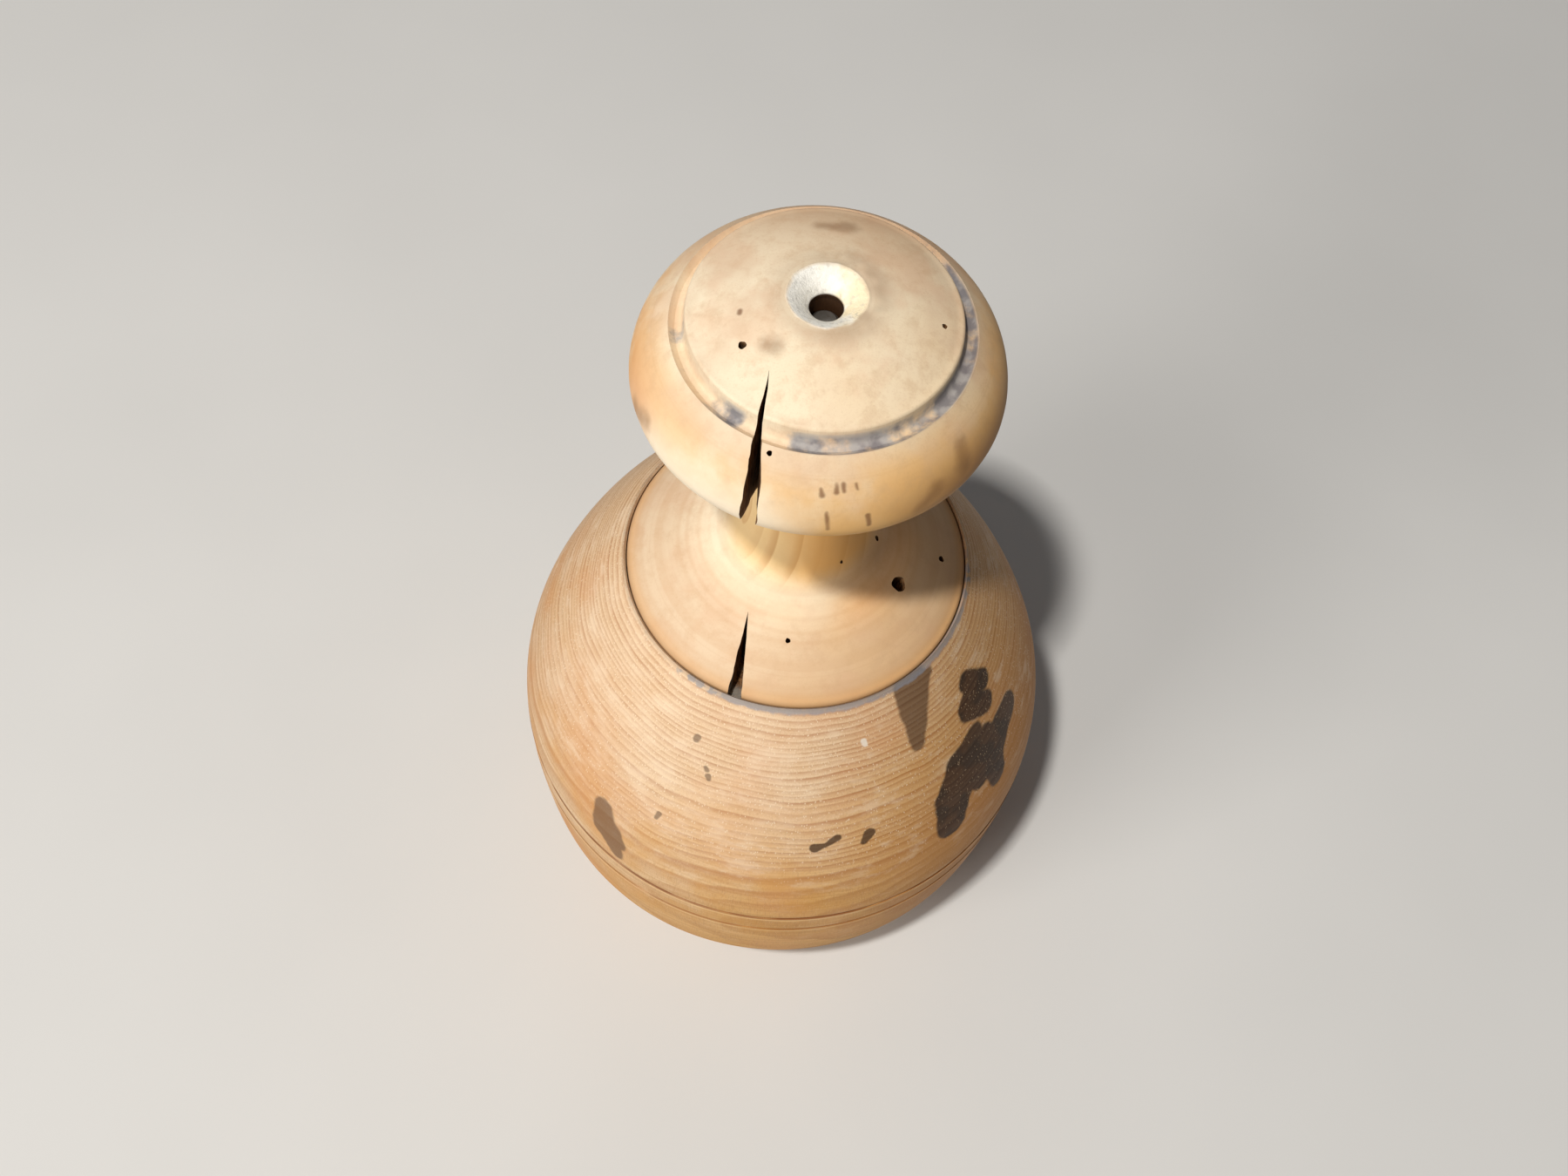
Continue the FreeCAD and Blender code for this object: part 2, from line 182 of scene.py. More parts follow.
def spline_points(knots, step):
    """A smooth curve through the knots, by centripetal Catmull-Rom."""
    knots = [Vector(k) for k in knots]
    padded = [2 * knots[0] - knots[1]] + knots + [2 * knots[-1] - knots[-2]]
    points = []
    for p0, p1, p2, p3 in zip(padded, padded[1:], padded[2:], padded[3:]):
        t1 = math.sqrt((p1 - p0).length)
        t2 = t1 + math.sqrt((p2 - p1).length)
        t3 = t2 + math.sqrt((p3 - p2).length)
        count = max(2, round((p2 - p1).length / step))
        for i in range(count):
            t = t1 + (t2 - t1) * i / count
            a1 = p0 * (t1 - t) / t1 + p1 * t / t1
            a2 = p1 * (t2 - t) / (t2 - t1) + p2 * (t - t1) / (t2 - t1)
            a3 = p2 * (t3 - t) / (t3 - t2) + p3 * (t - t2) / (t3 - t2)
            b1 = a1 * (t2 - t) / t2 + a2 * t / t2
            b2 = a2 * (t3 - t) / (t3 - t1) + a3 * (t - t1) / (t3 - t1)
            points.append(tuple(b1 * (t2 - t) / (t2 - t1) + b2 * (t - t1) / (t2 - t1)))
    return points + [tuple(knots[-1])]


def straight(a, b, step):
    """Evenly spaced points from a to b."""
    count = max(1, round(math.dist(a, b) / step))
    across = b[0] - a[0]
    up = b[1] - a[1]
    return [(a[0] + across * i / count, a[1] + up * i / count) for i in range(count + 1)]


def joined(*runs):
    """One outline from several runs, without doubled points."""
    outline = []
    for run in runs:
        for p in run:
            if not outline or math.dist(p, outline[-1]) > 0.01:
                outline.append(p)
    if math.dist(outline[0], outline[-1]) < 0.01:
        outline.pop()
    return outline


def mesh_object(name, bm, smooth_angle=SMOOTH_ANGLE):
    """Turns a bmesh into an object in the scene, with smooth shading up to an angle in degrees."""
    bmesh.ops.recalc_face_normals(bm, faces=bm.faces)
    mesh = bpy.data.meshes.new(name)
    bm.to_mesh(mesh)
    bm.free()
    obj = bpy.data.objects.new(name, mesh)
    scene.collection.objects.link(obj)
    shade(obj, smooth_angle)
    return obj


def shade(obj, smooth_angle):
    mesh = obj.data
    mesh.shade_smooth()
    mesh.set_sharp_from_angle(angle=math.radians(smooth_angle))


def lathe(name, outline, segments, wobble=None):
    """Revolves a closed outline about Z. wobble(radius, turn, z) may change a point's radius."""
    bm = bmesh.new()
    rings = []
    for r, z in outline:
        ring = []
        for i in range(segments):
            turn = 2 * math.pi * i / segments
            radius = wobble(r, turn, z) if wobble else r
            place = Vector((radius * math.cos(turn), radius * math.sin(turn), z))
            ring.append(bm.verts.new(place * MM))
        rings.append(ring)
    for low, high in zip(rings, rings[1:] + rings[:1]):
        for i in range(segments):
            j = (i + 1) % segments
            bm.faces.new((low[i], low[j], high[j], high[i]))
    return mesh_object(name, bm)


def cut(obj, cutter):
    """Takes the cutter out of obj. The new faces keep the cutter's material."""
    change = obj.modifiers.new("cut", "BOOLEAN")
    change.operation = "DIFFERENCE"
    change.solver = "EXACT"
    change.material_mode = "TRANSFER"
    change.object = cutter
    bpy.context.view_layer.update()
    depsgraph = bpy.context.evaluated_depsgraph_get()
    mesh = bpy.data.meshes.new_from_object(obj.evaluated_get(depsgraph))
    obj.modifiers.remove(change)
    old = obj.data
    obj.data = mesh
    bpy.data.meshes.remove(old)
    bpy.data.objects.remove(cutter)


# ---- Node helpers -----------------------------------------------------------
class Look:
    """One material's nodes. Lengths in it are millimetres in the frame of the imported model."""

    def __init__(self, name):
        self.material = bpy.data.materials.new(name)
        self.material.use_nodes = True
        self.tree = self.material.node_tree
        self.tree.nodes.clear()
        self.shader = self.tree.nodes.new("ShaderNodeBsdfPrincipled")
        output = self.tree.nodes.new("ShaderNodeOutputMaterial")
        self.tree.links.new(self.shader.outputs[0], output.inputs[0])
        place = self.tree.nodes.new("ShaderNodeTexCoord").outputs["Object"]
        self.point = self.vector("SCALE", place, scale=1 / MM)
        self.x, self.y, self.z = self.split(self.point)

    def feed(self, socket, value):
        if isinstance(value, bpy.types.NodeSocket):
            self.tree.links.new(value, socket)
        else:
            socket.default_value = value

    def math(self, operation, a, b=None, c=None, clamp=False):
        node = self.tree.nodes.new("ShaderNodeMath")
        node.operation = operation
        node.use_clamp = clamp
        for socket, value in zip(node.inputs, (a, b, c)):
            if value is not None:
                self.feed(socket, value)
        return node.outputs[0]

    def add(self, *terms):
        total = terms[0]
        for term in terms[1:]:
            total = self.math("ADD", total, term)
        return total

    def times(self, *terms):
        total = terms[0]
        for term in terms[1:]:
            total = self.math("MULTIPLY", total, term)
        return total

    def vector(self, operation, a, b=None, scale=None):
        node = self.tree.nodes.new("ShaderNodeVectorMath")
        node.operation = operation
        self.feed(node.inputs[0], a)
        if b is not None:
            self.feed(node.inputs[1], b)
        if scale is not None:
            self.feed(node.inputs["Scale"], scale)
        return node.outputs["Value" if operation in ("LENGTH", "DOT_PRODUCT") else "Vector"]

    def split(self, vector):
        node = self.tree.nodes.new("ShaderNodeSeparateXYZ")
        self.feed(node.inputs[0], vector)
        return tuple(node.outputs)

    def join(self, x, y, z):
        node = self.tree.nodes.new("ShaderNodeCombineXYZ")
        for socket, value in zip(node.inputs, (x, y, z)):
            self.feed(socket, value)
        return node.outputs[0]

    def noise(self, vector, scale, detail=2.0, roughness=0.5, colour=False):
        node = self.tree.nodes.new("ShaderNodeTexNoise")
        self.feed(node.inputs["Vector"], vector)
        node.inputs["Scale"].default_value = scale
        node.inputs["Detail"].default_value = detail
        node.inputs["Roughness"].default_value = roughness
        return node.outputs["Color" if colour else "Fac"]

    def line_noise(self, value, scale, detail=2.0, roughness=0.5):
        """Noise that varies along one value only."""
        node = self.tree.nodes.new("ShaderNodeTexNoise")
        node.noise_dimensions = "1D"
        self.feed(node.inputs["W"], value)
        node.inputs["Scale"].default_value = scale
        node.inputs["Detail"].default_value = detail
        node.inputs["Roughness"].default_value = roughness
        return node.outputs["Fac"]

    def cells(self, vector, scale):
        """Distance to the nearest of scattered points."""
        node = self.tree.nodes.new("ShaderNodeTexVoronoi")
        self.feed(node.inputs["Vector"], vector)
        node.inputs["Scale"].default_value = scale
        return node.outputs["Distance"]

    def random_of(self, value):
        node = self.tree.nodes.new("ShaderNodeTexWhiteNoise")
        node.noise_dimensions = "1D"
        self.feed(node.inputs["W"], value)
        return node.outputs["Value"]

    def span(self, value, low, high, out_low=0.0, out_high=1.0, smooth=True):
        """value from low..high to out_low..out_high, held at the ends."""
        node = self.tree.nodes.new("ShaderNodeMapRange")
        node.interpolation_type = "SMOOTHSTEP" if smooth else "LINEAR"
        for name, v in (
            ("Value", value),
            ("From Min", low),
            ("From Max", high),
            ("To Min", out_low),
            ("To Max", out_high),
        ):
            self.feed(node.inputs[name], v)
        return node.outputs[0]

    def ramp(self, value, stops):
        node = self.tree.nodes.new("ShaderNodeValToRGB")
        self.feed(node.inputs[0], value)
        ramp = node.color_ramp
        while len(ramp.elements) < len(stops):
            ramp.elements.new(0.5)
        for element, (position, level) in zip(ramp.elements, stops):
            element.position = position
            element.color = level if isinstance(level, tuple) else (level, level, level, 1)
        return node.outputs[0]

    def mix(self, amount, a, b):
        node = self.tree.nodes.new("ShaderNodeMix")
        node.data_type = "RGBA"
        self.feed(node.inputs[0], amount)
        self.feed(node.inputs[6], a)
        self.feed(node.inputs[7], b)
        return node.outputs[2]

    def bump(self, height, distance_mm, strength=1.0, normal=None):
        node = self.tree.nodes.new("ShaderNodeBump")
        node.inputs["Strength"].default_value = strength
        node.inputs["Distance"].default_value = distance_mm * MM
        self.feed(node.inputs["Height"], height)
        if normal is not None:
            self.feed(node.inputs["Normal"], normal)
        return node.outputs[0]

    def strokes(self, runs, warp, edge=0.3, blend=0.6):
        """1 inside any tapered stroke, 0 outside. warp pushes the edges about.

        A stroke is where it starts and ends, and its radius at each end. Strokes that meet blend.
        """
        point = self.vector("ADD", self.point, warp)
        nearest = None
        for start, end, start_radius, end_radius in runs:
            along = tuple(b - a for a, b in zip(start, end))
            offset = self.vector("SUBTRACT", point, start)
            reached = self.vector("DOT_PRODUCT", offset, along)
            share = self.math("DIVIDE", reached, sum(v * v for v in along), clamp=True)
            beside = self.vector("SUBTRACT", offset, self.vector("SCALE", along, scale=share))
            radius = self.math("MULTIPLY_ADD", share, end_radius - start_radius, start_radius)
            gap = self.math("SUBTRACT", self.vector("LENGTH", beside), radius)
            nearest = gap if nearest is None else self.math("SMOOTH_MIN", nearest, gap, blend)
        return self.span(nearest, edge, -edge)

    def warp(self, scale, size, detail=2.0):
        """A noise vector of about size mm each way."""
        wander = self.noise(self.point, scale, detail, colour=True)
        centred = self.vector("SUBTRACT", wander, (0.5, 0.5, 0.5))
        return self.vector("SCALE", centred, scale=2 * size)

    def angle_mask(self, centre_deg, half_deg, soft_deg):
        """1 within half_deg of an azimuth about the axis, falling to 0 over soft_deg."""
        turn = math.radians(centre_deg)
        facing = (math.cos(turn), math.sin(turn), 0.0)
        along = self.vector("DOT_PRODUCT", self.join(self.x, self.y, 0.0), facing)
        cosine = self.math("DIVIDE", along, self.radius())
        outer = math.cos(math.radians(min(180.0, half_deg + soft_deg)))
        return self.span(cosine, outer, math.cos(math.radians(half_deg)))

    def radius(self):
        return self.vector("LENGTH", self.join(self.x, self.y, 0.0))

    def finish(self, colour, roughness, normal=None, metallic=0.0, specular=0.5):
        self.feed(self.shader.inputs["Base Color"], colour)
        self.feed(self.shader.inputs["Roughness"], roughness)
        self.shader.inputs["Metallic"].default_value = metallic
        self.shader.inputs["Specular IOR Level"].default_value = specular
        if normal is not None:
            self.feed(self.shader.inputs["Normal"], normal)
        return self.material


def rgb(r, g, b):
    """An sRGB colour, 0 to 255, as the linear colour that nodes take."""
    channels = (r / 255, g / 255, b / 255)
    linear = [v / 12.92 if v <= 0.04045 else ((v + 0.055) / 1.055) ** 2.4 for v in channels]
    return (*linear, 1.0)


# ---- Body wood: ring-porous, turned with the grain along the axis -----------
# Stains as strokes, in mm: where each starts and ends, and its radius there.
DRIP = (
    ((16.7, -16.9, 71.6), (18.6, -21.3, 64.6), 2.9, 1.1),
    ((16.7, -17.0, 71.4), (18.6, -14.6, 71.8), 1.4, 0.7),
)
BLOTCH = (
    ((24.1, -12.4, 66.4), (26.5, -10.7, 64.0), 1.6, 1.6),
    ((25.4, -12.0, 65.0), (24.9, -14.6, 63.3), 1.8, 2.1),
    ((25.0, -14.6, 63.2), (27.4, -12.6, 61.2), 2.1, 1.9),
    ((31.6, -10.2, 55.8), (30.5, -13.2, 55.0), 2.4, 2.8),
    ((30.5, -13.2, 55.0), (29.7, -16.0, 53.2), 2.8, 3.5),
    ((29.7, -16.4, 53.0), (31.3, -17.1, 48.8), 3.0, 2.0),
    ((26.6, -16.3, 59.2), (25.2, -20.0, 57.4), 1.6, 2.7),
    ((28.4, -15.4, 57.0), (27.2, -18.9, 54.8), 2.0, 3.0),
    ((28.4, -17.6, 54.6), (28.4, -19.4, 51.8), 2.8, 2.0),
    ((25.1, -20.4, 56.8), (25.1, -22.8, 53.2), 2.7, 3.6),
    ((25.1, -23.0, 52.8), (25.5, -25.1, 48.6), 3.5, 2.7),
)
SPOTS = (
    ((7.2, -33.1, 53.6), (8.4, -32.7, 53.9), 0.85, 0.4),
    ((8.4, -32.7, 53.9), (9.8, -31.9, 54.9), 0.4, 0.65),
    ((13.5, -31.3, 53.2), (14.1, -30.4, 54.5), 0.5, 0.85),
)
GREY_STAIN = (
    ((-22.0, -28.7, 47.6), (-21.6, -30.2, 43.8), 1.6, 2.6),
    ((-21.2, -30.6, 43.4), (-19.9, -32.2, 39.4), 2.4, 1.2),
    ((-20.6, -30.6, 44.6), (-19.6, -31.6, 42.4), 1.6, 1.4),
)
SPECKS = (
    ((-9.6, -25.1, 66.7), (-9.8, -25.3, 66.4), 0.5, 0.45),
    ((-8.2, -27.7, 63.4), (-8.0, -27.9, 63.1), 0.3, 0.35),
    ((-7.8, -28.5, 62.4), (-7.7, -28.8, 62.0), 0.45, 0.3),
    ((-13.9, -31.0, 53.5), (-14.3, -31.2, 52.5), 0.4, 0.3),
)
PALE_SPECK = (((11.3, -23.4, 68.0), (11.6, -23.7, 67.5), 0.45, 0.35),)


def body_wood():
    """Tan ring-porous wood: growth rings, open vessels, old oil, stains and dirt."""
    k = Look("body_wood")
    # Growth rings: distance from a pith that leans a little and wanders.
    wander = k.warp(0.05, 0.9)
    px, py, _ = k.split(k.vector("ADD", k.point, wander))
    px = k.add(px, k.times(k.z, -0.022), 1.6)
    py = k.add(py, k.times(k.z, 0.016), -0.4)
    from_pith = k.vector("LENGTH", k.join(px, py, 0.0))
    from_pith = k.add(from_pith, k.times(k.line_noise(from_pith, 0.22, 1.0), 2.0))
    ring_pitch = 0.5
    count = k.math("DIVIDE", from_pith, ring_pitch)
    phase = k.math("FRACT", count)
    strength = k.span(k.random_of(k.math("FLOOR", count)), 0.0, 1.0, 0.5, 1.0, smooth=False)
    strength = k.times(strength, k.span(k.z, 34.0, 56.0, 0.4, 1.0))
    ring_profile = ((0.0, 0.75), (0.1, 1.0), (0.42, 0.45), (0.8, 0.0), (0.93, 0.0), (1.0, 0.75))
    early = k.times(k.ramp(phase, ring_profile), strength)

    # Vessels: thin tubes along the grain, packed into the early part of each ring.
    grain = k.vector("MULTIPLY", k.point, (1.0, 1.0, 0.09))
    tubes = k.cells(grain, 3.1)
    open_pores = k.span(k.z, 44.0, 54.0, 0.12, 1.0)
    pores = k.times(k.span(tubes, 0.28, 0.14), k.span(early, 0.05, 0.35, 0.2, 1.0), open_pores)
    fine_tubes = k.noise(k.vector("MULTIPLY", k.point, (1.0, 1.0, 0.07)), 6.0, 2.0, 0.6)
    fibre = k.span(fine_tubes, 0.3, 0.7)
    scratches = k.times(k.span(k.cells(grain, 6.5), 0.2, 0.08), k.span(k.z, 46.0, 38.0))

    tool_lines = k.line_noise(k.z, 3.4, 3.0, 0.7)
    patches = k.noise(k.point, 0.035, 3.0, 0.55)

    # The lower half shows more of the turning tool's lines, and fewer open vessels.
    low_height = k.add(k.z, k.times(k.noise(k.point, 0.06, 2.0), 3.0))
    low_lines = k.span(k.line_noise(low_height, 1.1, 2.0, 0.6), 0.44, 0.6)
    low_lines = k.times(low_lines, k.span(k.z, 58.0, 48.0))

    # Pinkish where handling has worn it near the mouth, golden where old oil is left lower down.
    toward_gold = k.vector("DOT_PRODUCT", k.point, (0.013, -0.004, -0.014))
    gold = k.span(k.add(toward_gold, k.times(patches, 1.0)), -0.4, 0.3)
    pale = k.mix(gold, rgb(224, 194, 156), rgb(217, 170, 104))
    dark = k.mix(gold, rgb(178, 126, 86), rgb(168, 104, 44))
    colour = k.mix(k.times(early, 0.95), pale, dark)
    colour = k.mix(k.times(k.span(fibre, 0.5, 1.0), 0.28), colour, rgb(164, 112, 64))
    colour = k.mix(k.times(k.span(tool_lines, 0.5, 0.7), 0.2), colour, rgb(166, 108, 56))
    colour = k.mix(k.times(low_lines, 0.3), colour, rgb(184, 130, 70))
    rosy = k.span(k.noise(k.point, 0.07, 2.0), 0.48, 0.66)
    colour = k.mix(k.times(rosy, 0.28), colour, rgb(208, 148, 104))
    oiled = k.times(k.span(k.noise(k.point, 0.11, 4.0, 0.6), 0.46, 0.64), k.span(k.z, 66.0, 44.0, 0.25, 1.0))
    colour = k.mix(k.times(oiled, 0.4), colour, rgb(206, 148, 68))

    # Tones that differ round the body: painted shade makes it duller to the right, opposite the key lamp;
    # warmer at the left edge; painted light makes it paler at the front left.
    shaded_side = k.times(k.span(k.x, 6.0, 34.0), k.span(k.z, 48.0, 66.0, 0.72, 0.25))
    colour = k.mix(shaded_side, colour, rgb(182, 122, 62))
    left_edge = k.times(k.angle_mask(-165.0, 24.0, 22.0), k.span(k.z, 70.0, 58.0), k.span(patches, 0.35, 0.6))
    colour = k.mix(k.times(left_edge, 0.45), colour, rgb(204, 138, 74))
    cloud = k.noise(k.vector("MULTIPLY", k.point, (1.0, 1.0, 2.2)), 0.16, 4.0, 0.7)
    bare = k.times(k.span(cloud, 0.5, 0.7), k.span(k.z, 40.0, 52.0, 0.12, 0.4))
    colour = k.mix(bare, colour, rgb(236, 214, 184))
    broken = k.span(cloud, 0.3, 0.6, 0.3, 1.0)
    # Painted light: paler at the front left, toward the key lamp, broken up by the cloud.
    painted_light_front_left = k.times(k.angle_mask(-122.0, 26.0, 30.0), k.span(k.z, 42.0, 56.0), broken)
    colour = k.mix(k.times(painted_light_front_left, 0.34), colour, rgb(240, 216, 188))
    colour = k.mix(k.times(pores, 0.7), colour, rgb(240, 222, 192))
    colour = k.mix(k.times(scratches, 0.5), colour, rgb(246, 226, 188))

    # Stains follow the wood: the rings show through, and the vessels stay pale.
    ragged = k.warp(0.6, 0.4, 4.0)
    drip = k.strokes(DRIP, ragged)
    blotch = k.strokes(BLOTCH, ragged)
    spot = k.strokes(SPOTS, k.warp(0.9, 0.25, 3.0), edge=0.15, blend=0.2)
    grey = k.strokes(GREY_STAIN, ragged)
    speck = k.strokes(SPECKS, k.warp(1.2, 0.12), edge=0.12, blend=0.1)
    pale_speck = k.strokes(PALE_SPECK, k.warp(1.2, 0.2), edge=0.12)
    brown = k.mix(early, rgb(72, 44, 18), rgb(50, 26, 8))
    brown = k.mix(k.span(k.noise(k.point, 0.25, 2.0), 0.45, 0.6), brown, rgb(42, 24, 8))
    brown = k.mix(k.times(pores, 0.6), brown, rgb(190, 160, 124))
    drip_tone = k.mix(early, rgb(106, 79, 55), rgb(86, 60, 40))
    colour = k.mix(k.times(drip, 0.86), colour, drip_tone)
    colour = k.mix(k.times(blotch, 0.96), colour, brown)
    colour = k.mix(k.times(spot, 0.88), colour, rgb(72, 48, 28))
    colour = k.mix(k.times(grey, 0.72), colour, rgb(94, 70, 54))
    colour = k.mix(k.times(speck, 0.7), colour, rgb(110, 90, 72))
    colour = k.mix(k.times(pale_speck, 0.8), colour, rgb(236, 226, 210))
    stain = k.math("MAXIMUM", drip, blotch)

    # Old grey filler along the rim of the mouth.
    rim = k.span(k.add(k.z, k.times(k.noise(k.point, 0.7, 3.0), 0.9)), 72.5, 72.9)
    chalk = k.span(k.noise(k.point, 0.9, 3.0), 0.4, 0.6)
    front_right = k.angle_mask(-60.0, 40.0, 35.0)
    filler = k.times(rim, k.span(k.add(k.times(front_right, 0.7), k.times(chalk, 0.5)), 0.4, 0.8))
    colour = k.mix(k.times(filler, 0.72), colour, rgb(140, 144, 152))
    rim_dirt = k.times(k.span(k.z, 72.2, 72.75), k.span(k.radius(), 23.3, 22.7))
    colour = k.mix(k.times(rim_dirt, 0.3), colour, rgb(124, 108, 92))

    # Dirt in the chisel lines, and a pale lip below each, part wear and part painted highlight.
    for line, depth in SCRIBED_LINES:
        beside = k.math("ABSOLUTE", k.math("SUBTRACT", k.z, line))
        worn = k.span(k.noise(k.point, 0.12, 2.0), 0.3, 0.55, 0.35, 1.0)
        below = k.math("ABSOLUTE", k.math("SUBTRACT", k.z, line - 0.8))
        colour = k.mix(k.times(k.span(beside, 0.55, 0.2), worn, 1.9 * depth), colour, rgb(118, 64, 24))
        colour = k.mix(k.times(k.span(below, 0.4, 0.15), worn, 1.2 * depth), colour, rgb(244, 206, 148))

    sunk = k.add(k.times(early, -0.35), k.times(pores, -0.5), k.times(fibre, -0.2))
    height = k.add(sunk, k.times(tool_lines, 0.6))
    normal = k.bump(height, 0.035, 0.7)
    roughness = k.add(0.56, k.times(early, 0.1), k.times(stain, -0.12), k.times(patches, 0.08))
    return k.finish(colour, roughness, normal, specular=0.22)


# ---- Head wood: fine and pale -----------------------------------------------
KNOB_SMUDGES = (
    ((15.6, -11.0, 118.0), (16.2, -12.0, 115.5), 0.6, 1.2),
    ((13.6, -15.2, 115.0), (12.2, -16.6, 113.4), 0.9, 0.6),
    ((-17.4, -10.9, 114.6), (-18.6, -8.6, 113.4), 0.8, 1.3),
    ((-1.8, 10.6, 124.0), (1.2, 11.0, 123.8), 0.8, 1.1),
    ((-5.4, -6.6, 124.7), (-4.6, -6.9, 124.7), 0.7, 0.7),
)
KNOB_NICKS = (
    ((1.7, -19.0, 118.0), (1.9, -19.3, 117.4), 0.22, 0.3),
    ((3.2, -18.5, 118.5), (3.3, -18.9, 117.7), 0.22, 0.3),
    ((3.9, -18.3, 118.4), (4.1, -18.7, 117.8), 0.25, 0.22),
    ((5.2, -18.0, 118.3), (5.4, -18.3, 117.9), 0.15, 0.15),
    ((6.8, -19.3, 114.8), (7.1, -19.5, 113.4), 0.3, 0.25),
    ((2.6, -20.2, 115.6), (2.9, -20.4, 113.2), 0.2, 0.25),
    ((-8.8, -2.6, 124.4), (-8.8, -2.9, 124.4), 0.25, 0.25),
)


def head_wood():
    """Fine pale wood: faint rings, handling wear, the chalky seat and the grey paint in the groove."""
    k = Look("head_wood")
    wander = k.warp(0.04, 1.2)
    px, py, _ = k.split(k.vector("ADD", k.point, wander))
    px = k.add(px, 6.2)
    py = k.add(py, 3.0)
    from_pith = k.vector("LENGTH", k.join(px, py, 0.0))
    from_pith = k.add(from_pith, k.times(k.line_noise(from_pith, 0.3, 1.0), 2.0))
    count = k.math("DIVIDE", from_pith, 2.3)
    phase = k.math("FRACT", count)
    strength = k.span(k.random_of(k.math("FLOOR", count)), 0.0, 1.0, 0.25, 1.0, smooth=False)
    late = k.times(k.ramp(phase, ((0.0, 0.0), (0.55, 0.15), (0.85, 0.8), (0.95, 1.0), (1.0, 0.0))), strength)
    grain = k.noise(k.vector("MULTIPLY", k.point, (1.0, 1.0, 0.1)), 4.5, 3.0, 0.6)
    patches = k.noise(k.point, 0.05, 3.0, 0.55)
    tool_lines = k.line_noise(k.add(k.z, k.times(k.radius(), 0.35)), 2.6, 3.0, 0.7)

    # Cream toward the left, old gold toward the right, with less gold at the top.
    toward_gold = k.vector("DOT_PRODUCT", k.point, (0.022, -0.004, 0.0))
    gold = k.span(k.add(toward_gold, k.times(patches, 1.1)), 0.3, 1.05)
    gold = k.times(gold, k.span(k.z, 117.0, 121.0, 1.0, 0.45))
    colour = k.mix(gold, rgb(236, 221, 193), rgb(228, 190, 138))
    on_waist = k.times(k.span(k.z, 82.0, 86.0), k.span(k.z, 104.0, 98.0))
    ring_strength = k.add(0.06, k.times(on_waist, 0.34))
    colour = k.mix(k.times(late, ring_strength), colour, rgb(190, 140, 84))
    colour = k.mix(k.times(k.span(grain, 0.5, 0.75), 0.16), colour, rgb(182, 136, 92))
    rosy = k.span(k.noise(k.point, 0.12, 4.0, 0.65), 0.46, 0.66)
    colour = k.mix(k.times(rosy, 0.32), colour, rgb(216, 166, 130))
    colour = k.mix(k.times(k.span(tool_lines, 0.55, 0.72), 0.12), colour, rgb(186, 140, 92))

    # The knob's side is golden, but for a pale place at the front left, a painted highlight toward the key
    # lamp. Mottled all over.
    worn_places = k.noise(k.point, 0.1, 4.0, 0.62)
    side = k.times(k.span(k.z, 121.5, 118.0), k.span(k.z, 104.0, 108.0))
    colour = k.mix(k.times(side, k.span(worn_places, 0.4, 0.6, 0.15, 0.6)), colour, rgb(222, 170, 100))
    mottle = k.span(k.noise(k.point, 0.45, 5.0, 0.7), 0.45, 0.68)
    colour = k.mix(k.times(mottle, 0.3), colour, rgb(196, 158, 118))
    hand_worn = k.times(k.span(k.z, 116.5, 119.5), k.span(k.noise(k.point, 0.08, 3.0, 0.6), 0.42, 0.62))
    colour = k.mix(k.times(hand_worn, 0.5), colour, rgb(212, 182, 152))
    lower_side = k.times(k.span(k.z, 119.0, 112.0), k.span(k.z, 104.0, 108.0))
    painted_light_front_left = k.angle_mask(-128.0, 20.0, 26.0)
    kept = k.add(1.0, k.times(painted_light_front_left, -1.0))
    uneven = k.span(patches, 0.35, 0.6, 0.35, 0.8)
    colour = k.mix(k.times(lower_side, kept, uneven), colour, rgb(216, 168, 100))
    colour = k.mix(k.times(lower_side, painted_light_front_left, 0.75), colour, rgb(250, 238, 214))

    # Painted shade: the back and the right are browner, on the side opposite the key lamp. The left edge is
    # orange.
    painted_shade_back = k.times(k.span(k.y, 0.0, 15.0), k.span(k.z, 116.0, 120.0))
    colour = k.mix(k.times(painted_shade_back, 0.55), colour, rgb(200, 158, 118))
    knob_band = k.times(k.span(k.z, 120.0, 115.0), k.span(k.z, 104.0, 109.0))
    orange_edge = k.times(k.angle_mask(-178.0, 20.0, 18.0), knob_band)
    colour = k.mix(k.times(orange_edge, k.span(worn_places, 0.38, 0.62), 0.6), colour, rgb(216, 150, 88))
    # Painted shade on the right of the knob's side.
    painted_shade_right = k.times(k.span(k.x, 4.0, 19.0), k.span(k.z, 119.0, 113.0), k.span(k.z, 98.0, 104.0))
    colour = k.mix(k.times(painted_shade_right, 0.8), colour, rgb(154, 102, 48))

    # Soft light and dark bands run round the lid.
    bands = k.line_noise(k.radius(), 0.75, 1.0, 0.4)
    on_lid = k.span(k.z, 84.0, 80.0)
    colour = k.mix(k.times(on_lid, k.span(bands, 0.42, 0.62), 0.22), colour, rgb(196, 148, 98))
    colour = k.mix(k.times(on_lid, k.span(k.radius(), 10.0, 18.0, 0.1, 0.5)), colour, rgb(206, 170, 134))
    # Painted light: paler on the lid to the front left beside the neck, toward the key lamp.
    painted_light_near_neck = k.times(on_lid, k.angle_mask(-130.0, 50.0, 40.0), k.span(k.radius(), 15.5, 11.0))
    colour = k.mix(k.times(painted_light_near_neck, 0.32), colour, rgb(255, 238, 208))
    # Painted light: the neck, which the knob shades, is made paler and warmer.
    on_neck = k.times(k.span(k.z, 80.0, 84.0), k.span(k.z, 104.0, 99.0))
    colour = k.mix(k.times(on_neck, 0.8), colour, rgb(255, 216, 150))
    colour = k.mix(k.times(on_neck, late, 0.5), colour, rgb(196, 132, 70))
